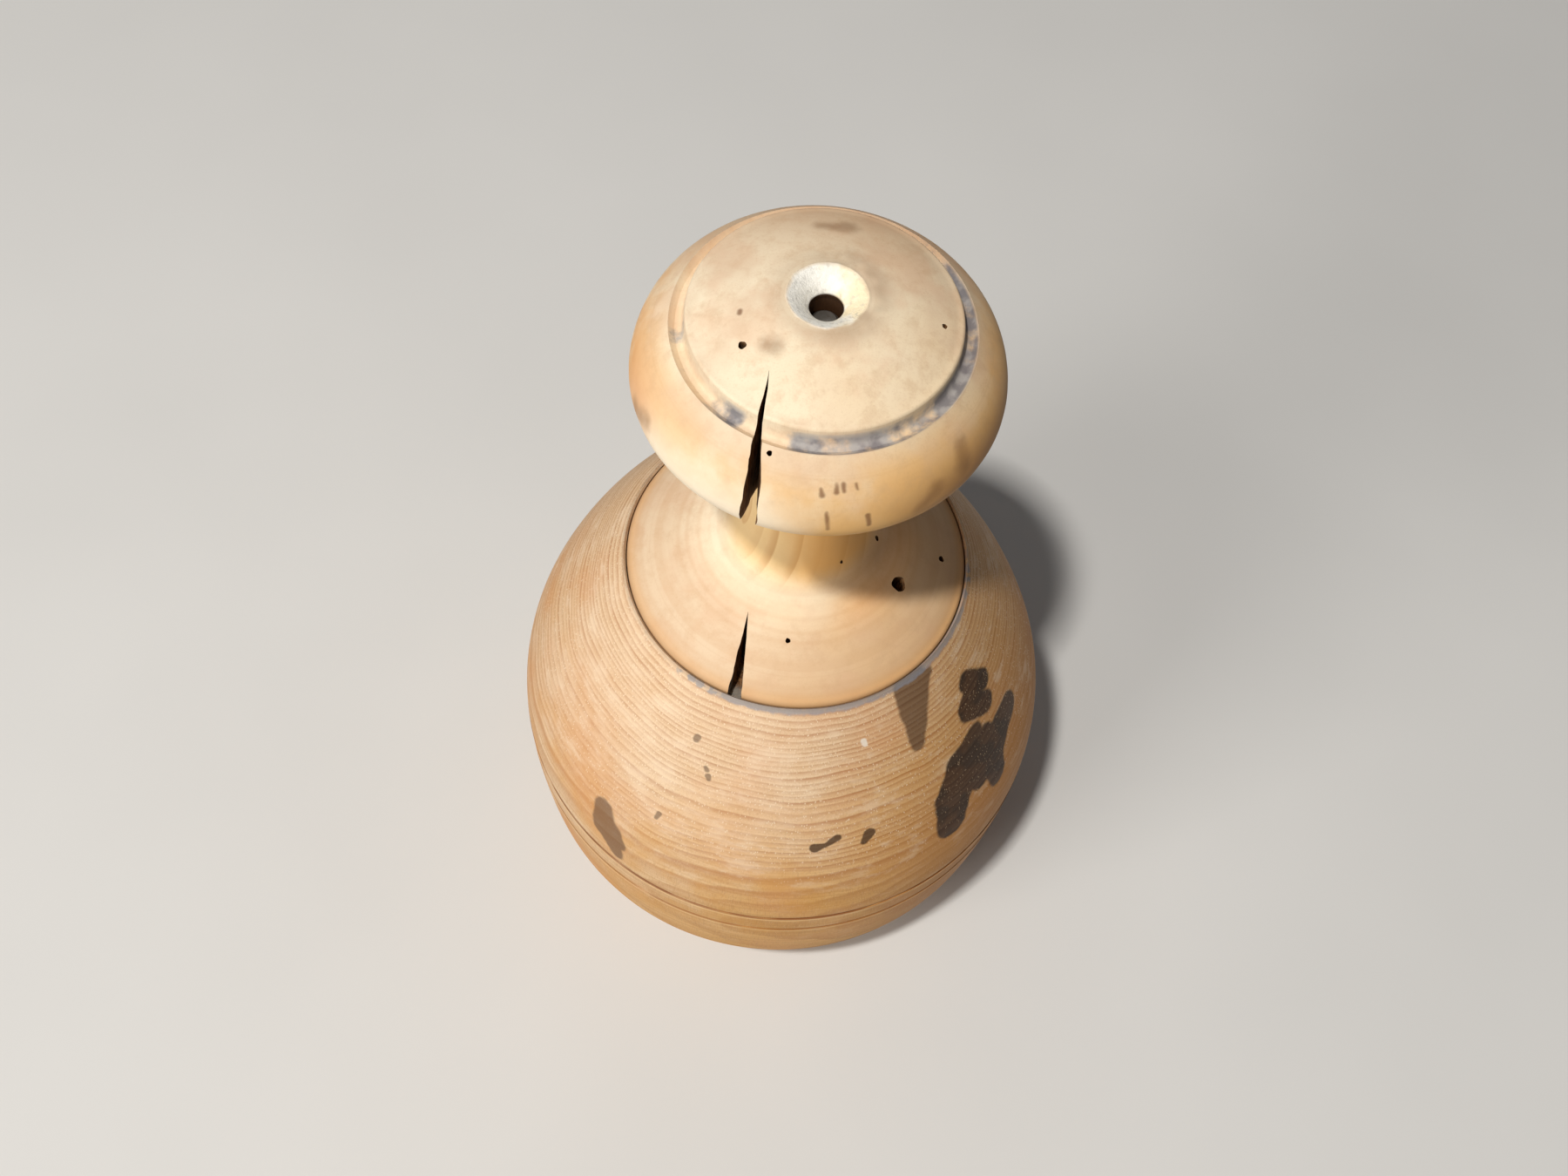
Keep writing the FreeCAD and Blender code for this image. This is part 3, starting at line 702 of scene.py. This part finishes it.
    # Painted shade, warm like bounced light, on the neck, most of all to the right.
    painted_shade_neck_right = k.times(on_neck, k.span(k.x, -3.0, 4.0))
    colour = k.mix(k.times(painted_shade_neck_right, 0.7), colour, rgb(255, 184, 92))
    # Painted shade, warm like bounced light, on the lid beside the neck to the right.
    painted_shade_lid = k.times(on_lid, k.span(k.x, 3.0, 9.0), k.span(k.radius(), 17.0, 12.0))
    colour = k.mix(k.times(painted_shade_lid, 0.4), colour, rgb(246, 182, 112))

    # Painted shade under the knob, in gold; and a golden rim at the last of the flange.
    painted_shade_under_knob = k.times(k.span(k.z, 112.5, 104.0), k.span(k.z, 92.0, 100.0))
    flange_rim = k.times(k.span(k.z, 75.2, 73.2), k.span(k.radius(), 20.4, 21.9))
    colour = k.mix(k.times(painted_shade_under_knob, 0.55), colour, rgb(192, 142, 78))
    colour = k.mix(k.times(flange_rim, 0.5), colour, rgb(206, 150, 84))

    # The worn seat round the bore is chalky, with a grey halo outside it.
    ragged = k.warp(0.5, 0.5, 3.0)
    seat_x, seat_y, _ = k.split(k.vector("ADD", k.point, ragged))
    from_bore = k.vector("LENGTH", k.join(seat_x, seat_y, 0.0))
    near_top = k.span(k.z, 123.2, 124.0)
    halo_side = k.add(0.45, k.times(k.angle_mask(0.0, 70.0, 60.0), 0.55))
    smoky = k.span(k.noise(k.point, 0.25, 2.0), 0.25, 0.55)
    halo = k.times(k.span(from_bore, 8.0, 4.8), near_top, halo_side, smoky)
    colour = k.mix(k.times(halo, 0.5), colour, rgb(158, 134, 108))
    seat = k.times(k.span(from_bore, 4.5, 3.9), k.span(k.z, 122.6, 123.2))
    cream = k.span(k.add(k.times(k.x, 0.12), k.noise(k.point, 0.5, 3.0)), 0.45, 0.9)
    chalk = k.mix(cream, rgb(246, 244, 236), rgb(246, 230, 194))
    chalk = k.mix(k.times(k.span(k.noise(k.point, 1.3, 4.0, 0.6), 0.52, 0.7), 0.4), chalk, rgb(176, 172, 164))
    colour = k.mix(k.times(seat, 0.94), colour, chalk)
    # Painted shade: dark brown at the mouth of the bore.
    painted_shade_in_bore = k.times(k.span(k.radius(), 2.05, 1.9), k.span(k.z, 123.6, 123.2))
    colour = k.mix(painted_shade_in_bore, colour, rgb(70, 46, 28))

    # Worn grey paint in the groove round the top, strongest to the front and the right.
    groove = k.times(
        k.span(k.radius(), CAP_RADIUS - 0.05, CAP_RADIUS + 0.1),
        k.span(k.radius(), CAP_GROOVE_RADIUS + 0.15, CAP_GROOVE_RADIUS - 0.3),
        k.span(k.z, 118.5, 119.2),
        k.span(k.z, 121.9, 121.4),
    )
    worn = k.noise(k.point, 0.3, 4.0, 0.62)
    sides = k.add(
        k.times(k.angle_mask(2.0, 20.0, 22.0), 1.0),
        k.times(k.angle_mask(-40.0, 14.0, 14.0), 0.9),
        k.times(k.angle_mask(-80.0, 13.0, 10.0), 1.0),
        k.times(k.angle_mask(-126.0, 5.0, 8.0), 0.8),
        k.times(k.angle_mask(-162.0, 4.0, 10.0), 0.5),
        k.times(k.angle_mask(45.0, 12.0, 16.0), 0.45),
    )
    paint = k.times(groove, k.span(k.add(worn, k.times(sides, 0.42)), 0.64, 0.92))
    paint_tone = k.mix(k.span(k.noise(k.point, 0.5, 3.0), 0.4, 0.62), rgb(102, 106, 118), rgb(158, 158, 160))
    colour = k.mix(k.times(paint, 0.85), colour, paint_tone)

    smudge = k.strokes(KNOB_SMUDGES, k.warp(0.4, 0.8, 3.0), edge=0.8)
    nick = k.strokes(KNOB_NICKS, k.warp(1.0, 0.15), edge=0.18, blend=0.1)
    colour = k.mix(k.times(smudge, 0.5), colour, rgb(124, 84, 48))
    colour = k.mix(k.times(nick, 0.75), colour, rgb(112, 70, 40))

    # Grey dirt where the flange meets the body.
    edge = k.times(k.span(k.radius(), 21.55, 22.0), k.span(k.z, 73.3, 72.7))
    colour = k.mix(k.times(edge, 0.35), colour, rgb(132, 104, 74))

    height = k.add(k.times(grain, 0.3), k.times(tool_lines, 0.35), k.times(late, 0.12))
    chalky = k.times(seat, k.noise(k.point, 1.8, 4.0, 0.7))
    normal = k.bump(height, 0.04, 0.7)
    normal = k.bump(chalky, 0.25, 0.7, normal)
    roughness = k.add(0.5, k.times(seat, 0.35), k.times(patches, 0.1), k.times(paint, 0.12))
    return k.finish(colour, roughness, normal, specular=0.22)


def torn_wood():
    """Inside the splits and the beetle holes: dark, fibrous and dusty."""
    k = Look("torn_wood")
    fibre = k.noise(k.vector("MULTIPLY", k.point, (1.0, 1.0, 0.12)), 3.0, 4.0, 0.65)
    dust = k.span(k.noise(k.point, 0.8, 3.0), 0.5, 0.7)
    colour = k.mix(k.span(fibre, 0.35, 0.65), rgb(86, 56, 34), rgb(152, 112, 72))
    colour = k.mix(k.times(dust, 0.35), colour, rgb(160, 146, 124))
    filled = k.times(k.span(k.z, 76.4, 74.6), k.span(k.radius(), 19.4, 20.6))
    colour = k.mix(k.times(filled, 0.85), colour, rgb(138, 132, 122))
    return k.finish(colour, 0.85, k.bump(fibre, 0.25, 0.9), specular=0.2)


# ---- Metals -----------------------------------------------------------------
def old_metal(name, bright, dull, spot, stretch, rough, grain_scale=5.0, tarnish=0.5, bump_mm=0.02):
    """Worn bare metal: fine lines along stretch, cloudy tarnish and darker spots."""
    k = Look(name)
    lines = k.noise(k.vector("MULTIPLY", k.point, stretch), grain_scale, 4.0, 0.6)
    cloud = k.noise(k.point, 0.35, 4.0, 0.6)
    pits = k.span(k.noise(k.point, 1.4, 3.0, 0.7), 0.6, 0.72)
    colour = k.mix(k.span(cloud, 0.35, 0.7), bright, dull)
    colour = k.mix(k.times(k.span(lines, 0.4, 0.7), 0.3), colour, dull)
    colour = k.mix(k.times(pits, tarnish), colour, spot)
    roughness = k.add(rough, k.times(lines, 0.18), k.times(pits, 0.25), k.times(cloud, 0.12))
    return k.finish(colour, roughness, k.bump(lines, bump_mm, 0.6), metallic=0.9)


# ---- Turned shapes ----------------------------------------------------------
def body_outline():
    """Closed, from the foot up the outside and down the inside. Finer where the chisel lines are."""
    lean = math.degrees(math.asin(FLANK_DROP / FLANK_ARC))
    flank = arc_points((BODY_RADIUS - FLANK_ARC, WIDEST_Z), FLANK_ARC, -lean, 0, 0.9)
    out = (math.cos(math.radians(lean)), -math.sin(math.radians(lean)))
    base_centre = (flank[0][0] - out[0] * BASE_ARC, flank[0][1] - out[1] * BASE_ARC)
    base_start = -math.degrees(math.asin((base_centre[1] - FOOT_ROUND_Z) / BASE_ARC))
    base = arc_points(base_centre, BASE_ARC, base_start, -lean, 0.9)
    shoulder = arc_points((BODY_RADIUS - SHOULDER_ARC, WIDEST_Z), SHOULDER_ARC, 0, SHOULDER_TURN, 0.9)
    rim = (MOUTH_RADIUS + MOUTH_BEVEL[0], MOUTH_Z)
    turn_point = shoulder[-1]
    chord = (rim[0] - turn_point[0], rim[1] - turn_point[1])
    half_turn = math.degrees(math.atan2(-chord[0], chord[1])) - SHOULDER_TURN
    radius = math.hypot(*chord) / (2 * math.sin(math.radians(half_turn)))
    tangent = math.radians(SHOULDER_TURN)
    centre = (turn_point[0] - radius * math.cos(tangent), turn_point[1] - radius * math.sin(tangent))
    upper = arc_points(centre, radius, SHOULDER_TURN, SHOULDER_TURN + 2 * half_turn, 0.9)
    outside = scribed(joined(base, flank, shoulder, upper))
    foot = (base[0][0] - FOOT_ROUND, 0.0)
    hopper_top = (NECK_BORE, NECK_BORE_LOW_Z)
    hopper_middle = (HOPPER_RADIUS, HOPPER_Z)
    works_top = (WORKS_BORE, WORKS_BORE_TOP_Z)
    works_low = (WORKS_BORE, FOOT_RECESS_DEPTH)
    recess_top = (FOOT_RECESS, FOOT_RECESS_DEPTH)
    recess_low = (FOOT_RECESS, 0.0)
    inside = joined(
        straight((MOUTH_RADIUS, MOUTH_Z - MOUTH_BEVEL[1]), (MOUTH_RADIUS, LEDGE_Z), 1.2),
        straight((MOUTH_RADIUS, LEDGE_Z), (NECK_BORE, LEDGE_Z), 1.2),
        straight((NECK_BORE, LEDGE_Z), hopper_top, 1.2),
        arc_through(hopper_top, hopper_middle, works_top, 1.6),
        straight(works_top, works_low, 1.6),
        straight(works_low, recess_top, 1.2),
        straight(recess_top, recess_low, 0.7),
        straight(recess_low, foot, 1.2),
    )
    return joined([foot], outside, inside)


def scribed(outline):
    """Cuts the chisel lines into the outside outline. Each has a raised lower lip."""
    made = []
    for r, z in outline:
        if all(abs(z - line) > CHISEL_REACH for line, _ in SCRIBED_LINES):
            made.append((r, z))
    for line, depth in SCRIBED_LINES:
        low = max((p for p in outline if p[1] < line - CHISEL_REACH), key=lambda p: p[1])
        high = min((p for p in outline if p[1] > line + CHISEL_REACH), key=lambda p: p[1])
        for dz, sink in CHISEL_CUT:
            share = (line + dz - low[1]) / (high[1] - low[1])
            made.append((low[0] + (high[0] - low[0]) * share - depth * sink, line + dz))
    return sorted(made, key=lambda p: p[1])


def knob_side(r, rise):
    """Height of an ellipse of the knob's radius above its widest line, at radius r."""
    return rise * math.sqrt(1 - (r / KNOB_RADIUS) ** 2)


def head_outline():
    """Closed, from the spigot's bottom out, up over the knob and down the bore."""
    flange = MOUTH_RADIUS - SEAM_GAP
    spigot = NECK_BORE - SPIGOT_GAP
    flange_low = LEDGE_Z + FLANGE_LIFT
    spigot_low = flange_low - SPIGOT_LENGTH
    spigot_foot = (spigot - SPIGOT_CHAMFER, spigot_low)
    spigot_edge = (spigot, spigot_low + SPIGOT_CHAMFER)
    rim_low = (flange, MOUTH_Z - 0.5)
    rim_middle = (flange - 0.12, MOUTH_Z - 0.08)
    rim_high = (flange - 0.5, MOUTH_Z + 0.15)
    rise = (16.4, 76.6)
    waist = [rise, (10.6, 80.2), (7.9, 85.4), (7.2, 91.5), (7.7, 98.0), (9.9, 103.2)]
    under = [(r, KNOB_Z - knob_side(r, KNOB_DROP)) for r in (14.6, 18.2, 20.2)]
    over = [(r, KNOB_Z + knob_side(r, KNOB_RISE)) for r in (20.2, 18.8, CAP_GROOVE_RADIUS)]
    groove_side = (CAP_GROOVE_RADIUS - 0.3, CAP_EDGE_Z - 1.65)
    groove_floor = (CAP_GROOVE_RADIUS - 0.7, CAP_EDGE_Z - 1.9)
    groove_inner = (CAP_RADIUS + 0.4, CAP_EDGE_Z - 1.7)
    cap_foot = (CAP_RADIUS + 0.08, CAP_EDGE_Z - 1.0)
    cap_low = (CAP_RADIUS, CAP_EDGE_Z)
    cap_high = (CAP_RADIUS - 0.5, CAP_EDGE_Z + 0.5)
    seat_edge = (SEAT_RADIUS, TOP_Z - 0.1)
    seat_floor = (BORE_RADIUS, TOP_Z - SEAT_DEPTH)
    return joined(
        straight((HEAD_BORE, HEAD_BORE_TOP_Z), (HEAD_BORE, spigot_low), 2.5),
        straight((HEAD_BORE, spigot_low), spigot_foot, 2.0),
        straight(spigot_foot, spigot_edge, 0.5),
        straight(spigot_edge, (spigot, flange_low), 1.5),
        straight((spigot, flange_low), (flange, flange_low), 1.5),
        straight((flange, flange_low), rim_low, 1.0),
        arc_through(rim_low, rim_middle, rim_high, 0.2),
        arc_through(rim_high, (19.4, 74.8), rise, 0.6),
        spline_points(waist + under + [(KNOB_RADIUS, KNOB_Z)] + over, 0.75),
        spline_points([over[-1], groove_side, groove_floor], 0.3),
        spline_points([groove_floor, groove_inner, cap_foot], 0.3),
        [cap_low],
        arc_through(cap_low, (CAP_RADIUS - 0.12, CAP_EDGE_Z + 0.35), cap_high, 0.2),
        arc_through(cap_high, (9.6, 124.3), seat_edge, 0.7),
        arc_through(seat_edge, (2.8, TOP_Z - 1.1), seat_floor, 0.3),
        straight(seat_floor, (BORE_RADIUS, HEAD_BORE_TOP_Z), 1.5),
    )


def crack_cutter(material):
    """One drying split, seen twice: in the knob and in the flange. It opens outward from near the pith."""
    rng = random.Random(7)
    bm = bmesh.new()
    loops = []
    for i in range(CRACK_LEVELS + 1):
        share = i / CRACK_LEVELS
        z = CRACK_LOW_Z + (CRACK_HIGH_Z - CRACK_LOW_Z) * share
        tip_y = CRACK_TIP_LOW_Y + (CRACK_TIP_HIGH_Y - CRACK_TIP_LOW_Y) * share
        left = []
        right = []
        for j in range(CRACK_STEPS + 1):
            y = tip_y + (CRACK_FAR_Y - tip_y) * j / CRACK_STEPS
            out = tip_y - y
            wander = 0.2 * noise.noise(Vector((y * 0.3, z * 0.12, 3.0)))
            middle = CRACK_X + 0.05 * (y + 9.0) + wander
            opening = 0.1 + share * (0.0055 * out - 0.063)
            half = opening * out * (1 + 0.25 * noise.noise(Vector((y * 0.8, z * 0.5, 9.0))))
            half += 0.04 * rng.random() * min(1.0, j / 3)
            left.append((middle - half - 0.01, y, z))
            right.append((middle + half + 0.01, y, z))
        loops.append([bm.verts.new(Vector(p) * MM) for p in left + right[::-1]])
    count = len(loops[0])
    for low, high in zip(loops, loops[1:]):
        for j in range(count):
            bm.faces.new((low[j], low[(j + 1) % count], high[(j + 1) % count], high[j]))
    for loop in (loops[0], loops[-1]):
        for j in range(CRACK_STEPS):
            bm.faces.new((loop[j], loop[j + 1], loop[count - 2 - j], loop[count - 1 - j]))
    obj = mesh_object("cutter", bm)
    obj.data.materials.append(material)
    return obj


def hole_cutter(place, inward, radius, depth, material, seed):
    """A beetle's hole: round, slightly ragged, and bending a little as it goes in."""
    rng = random.Random(seed)
    bm = bmesh.new()
    inward = Vector(inward).normalized()
    side = inward.orthogonal().normalized()
    other = inward.cross(side)
    rings = []
    for i in range(HOLE_STEPS + 1):
        share = i / HOLE_STEPS
        bend = side * 0.25 * radius * math.sin(3 * share)
        centre = Vector(place) + inward * (-HOLE_START + (depth + HOLE_START) * share) + bend
        size = radius * (1.0 if share < 0.9 else 0.6) * (1 + 0.04 * rng.uniform(-1, 1))
        ring = []
        for j in range(HOLE_SIDES):
            turn = 2 * math.pi * j / HOLE_SIDES
            reach = size * (1 + 0.07 * math.sin(3 * turn + seed) + 0.04 * math.sin(5 * turn + 2 * seed))
            across = side * reach * math.cos(turn) + other * reach * math.sin(turn)
            ring.append(bm.verts.new((centre + across) * MM))
        rings.append(ring)
    for low, high in zip(rings, rings[1:]):
        for j in range(HOLE_SIDES):
            after = (j + 1) % HOLE_SIDES
            bm.faces.new((low[j], low[after], high[after], high[j]))
    bm.faces.new(rings[0])
    bm.faces.new(rings[-1])
    obj = mesh_object("cutter", bm)
    obj.data.materials.append(material)
    return obj


def out_of_round(r, turn, z):
    """Old turned wood shrinks unevenly, by a tenth or two. Everything within STAYS_ROUND keeps its radius."""
    drift = noise.noise(Vector((math.cos(turn) * 1.3, math.sin(turn) * 1.3, z * 0.03)))
    share = max(0.0, (r - STAYS_ROUND) / (BODY_RADIUS - STAYS_ROUND))
    return r + min(0.0, 0.16 * drift - 0.05) * share


# ---- Turned pieces ----------------------------------------------------------
torn = torn_wood()
body = lathe("mill_body_wood", body_outline(), BODY_SEGMENTS, out_of_round)
body.data.materials.append(body_wood())
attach(body, "body")
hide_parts("mill_body")

head = lathe("turned_head_wood", head_outline(), HEAD_SEGMENTS)
head.data.materials.append(head_wood())
cut(head, crack_cutter(torn))
for number, (place, inward, radius, depth) in enumerate(HEAD_HOLES):
    cut(head, hole_cutter(place, inward, radius, depth, torn, number))
shade(head, SMOOTH_ANGLE)
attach(head, "head")
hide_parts("turned_head")

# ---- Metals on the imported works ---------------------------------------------
ALONG_Z = (1.0, 1.0, 0.08)
ACROSS_X = (0.08, 1.0, 1.0)
EVEN = (1.0, 1.0, 1.0)
STEEL = rgb(176, 172, 164)
DULL_STEEL = rgb(128, 122, 114)
SPRING_STEEL = rgb(120, 116, 110)
DULL_SPRING = rgb(78, 74, 70)
SCREW_STEEL = rgb(132, 126, 118)
DULL_SCREW = rgb(88, 82, 76)
SMALL_SCREW_STEEL = rgb(140, 134, 124)
DULL_SMALL_SCREW = rgb(92, 86, 80)
CONE_IRON = rgb(96, 92, 88)
DULL_CONE = rgb(58, 54, 50)
CONE_RUST = rgb(84, 60, 40)
RING_IRON = rgb(104, 100, 95)
DULL_RING = rgb(62, 58, 54)
RING_RUST = rgb(88, 62, 42)
BRASS = rgb(192, 152, 84)
DULL_BRASS = rgb(128, 94, 50)
BRASS_SPOT = rgb(76, 60, 42)
RUST = rgb(104, 66, 40)
SPRING_METAL = old_metal("spring_steel", SPRING_STEEL, DULL_SPRING, RUST, EVEN, 0.34, 6.0, 0.35)
METALS = {
    "drive_shaft": old_metal("shaft_steel", STEEL, DULL_STEEL, RUST, ALONG_Z, 0.3, tarnish=0.45),
    "cone_pin": old_metal("pin_steel", STEEL, DULL_STEEL, RUST, ACROSS_X, 0.28),
    "grinding_cone": old_metal("cone_iron", CONE_IRON, DULL_CONE, CONE_RUST, EVEN, 0.42, 3.0, 0.6, 0.05),
    "grinding_ring": old_metal("ring_iron", RING_IRON, DULL_RING, RING_RUST, EVEN, 0.45, 3.0, 0.6, 0.05),
    "spring_washer": old_metal("washer_steel", STEEL, DULL_STEEL, RUST, EVEN, 0.32, 6.0, 0.4),
    "retaining_bar": old_metal("bar_brass", BRASS, DULL_BRASS, BRASS_SPOT, ACROSS_X, 0.34, tarnish=0.55),
    "retaining_screws": old_metal("screw_steel", SCREW_STEEL, DULL_SCREW, RUST, EVEN, 0.36, 5.0, 0.6),
    "turn_plate": old_metal("plate_steel", STEEL, DULL_STEEL, RUST, ACROSS_X, 0.34, tarnish=0.4),
    "turn_plate_screws": old_metal(
        "plate_screw_steel", SMALL_SCREW_STEEL, DULL_SMALL_SCREW, RUST, EVEN, 0.36, 5.0, 0.6
    ),
}
for node, material in METALS.items():
    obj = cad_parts[node]
    obj.data.materials.clear()
    obj.data.materials.append(material)


# ---- Spring: its own wire, which rides on the carrier ------
def coil(name):
    """The spring's wire, swept round the axis, with flat ends."""
    bm = bmesh.new()
    low = SPRING_LOW_Z + SPRING_WIRE
    high = SPRING_HIGH_Z - SPRING_WIRE
    steps = round(SPRING_TURNS * SPRING_STEPS_PER_TURN)
    rings = []
    for i in range(steps + 1):
        turn = 2 * math.pi * SPRING_TURNS * i / steps
        height = low + (high - low) * i / steps
        ring = []
        for j in range(SPRING_SIDES):
            tilt = 2 * math.pi * j / SPRING_SIDES
            r = SPRING_RADIUS + SPRING_WIRE * math.cos(tilt)
            point = (r * math.cos(turn), r * math.sin(turn), height + SPRING_WIRE * math.sin(tilt))
            ring.append(bm.verts.new(Vector(point) * MM))
        rings.append(ring)
    for low_ring, high_ring in zip(rings, rings[1:]):
        for j in range(SPRING_SIDES):
            after = (j + 1) % SPRING_SIDES
            bm.faces.new((low_ring[j], low_ring[after], high_ring[after], high_ring[j]))
    bm.faces.new(rings[0])
    bm.faces.new(rings[-1])
    return mesh_object(name, bm, SPRING_SMOOTH_ANGLE)


spring = coil("adjuster_spring_wire")
spring.data.materials.append(SPRING_METAL)
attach(spring, "carrier")
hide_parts("adjuster_spring")
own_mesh(spring)


# ---- Stage, light and camera ------------------------------------------------
def make_floor():
    """A plain pale sheet under the mill."""
    bpy.ops.mesh.primitive_plane_add(size=6.0)
    floor = bpy.context.object
    floor.name = "floor"
    k = Look("floor_paper")
    tone = k.noise(k.point, 0.02, 2.0)
    k.finish(k.mix(tone, rgb(212, 211, 208), rgb(220, 219, 216)), 0.75, specular=0.2)
    floor.data.materials.append(k.material)


def area_light(name, azimuth, elevation, distance, size, power, colour):
    """A square lamp that looks at the middle of the mill."""
    data = bpy.data.lights.new(name, "AREA")
    data.shape = "SQUARE"
    data.size = size
    data.energy = power
    data.color = colour
    obj = bpy.data.objects.new(name, data)
    scene.collection.objects.link(obj)
    turn = math.radians(azimuth)
    tilt = math.radians(elevation)
    out = Vector((math.cos(turn) * math.cos(tilt), math.sin(turn) * math.cos(tilt), math.sin(tilt)))
    target = Vector((0, 0, 0.06))
    obj.location = target + out * distance
    obj.rotation_mode = "QUATERNION"
    obj.rotation_quaternion = out.to_track_quat("Z", "Y")
    return obj


def make_lights():
    """A small key lamp from high on the front left, a broad fill below it, and a weak one behind."""
    area_light("key", -122.0, 67.0, 0.9, 0.05, 6.2, (1.0, 0.97, 0.93))
    area_light("fill", -136.0, 28.0, 1.2, 0.5, 6.4, (1.0, 0.97, 0.93))
    area_light("back", 110.0, 50.0, 1.4, 0.9, 0.5, (1.0, 0.98, 0.95))
    world = bpy.data.worlds.new("studio")
    scene.world = world
    world.use_nodes = True
    back = world.node_tree.nodes["Background"]
    back.inputs[0].default_value = (0.93, 0.95, 1.0, 1.0)
    back.inputs[1].default_value = 0.1


def make_camera():
    """Looks steeply down at the front, rolled so that the knob leans right of upright."""
    elevation = math.radians(63.8)
    roll = math.radians(6.96)
    look_above = math.radians(3.11)
    pan = math.radians(-0.09)
    distance = 0.2453
    back = Vector((0, -math.cos(elevation), math.sin(elevation)))
    right = Vector((1, 0, 0))
    aimed = Matrix((right, back.cross(right), back)).transposed().to_4x4()
    aside = Matrix.Rotation(look_above, 4, "X") @ Matrix.Rotation(pan, 4, "Y")
    turned = Matrix.Rotation(roll, 4, "Z") @ aside
    data = bpy.data.cameras.new("camera")
    data.lens = 37.2
    data.sensor_width = 36.0
    data.clip_start = 0.01
    obj = bpy.data.objects.new("camera", data)
    scene.collection.objects.link(obj)
    target = Vector((0, 0, WIDEST_Z * MM))
    obj.matrix_world = Matrix.Translation(target + back * distance) @ aimed @ turned
    scene.camera = obj


make_floor()
make_lights()
make_camera()
scene.view_settings.view_transform = "Standard"
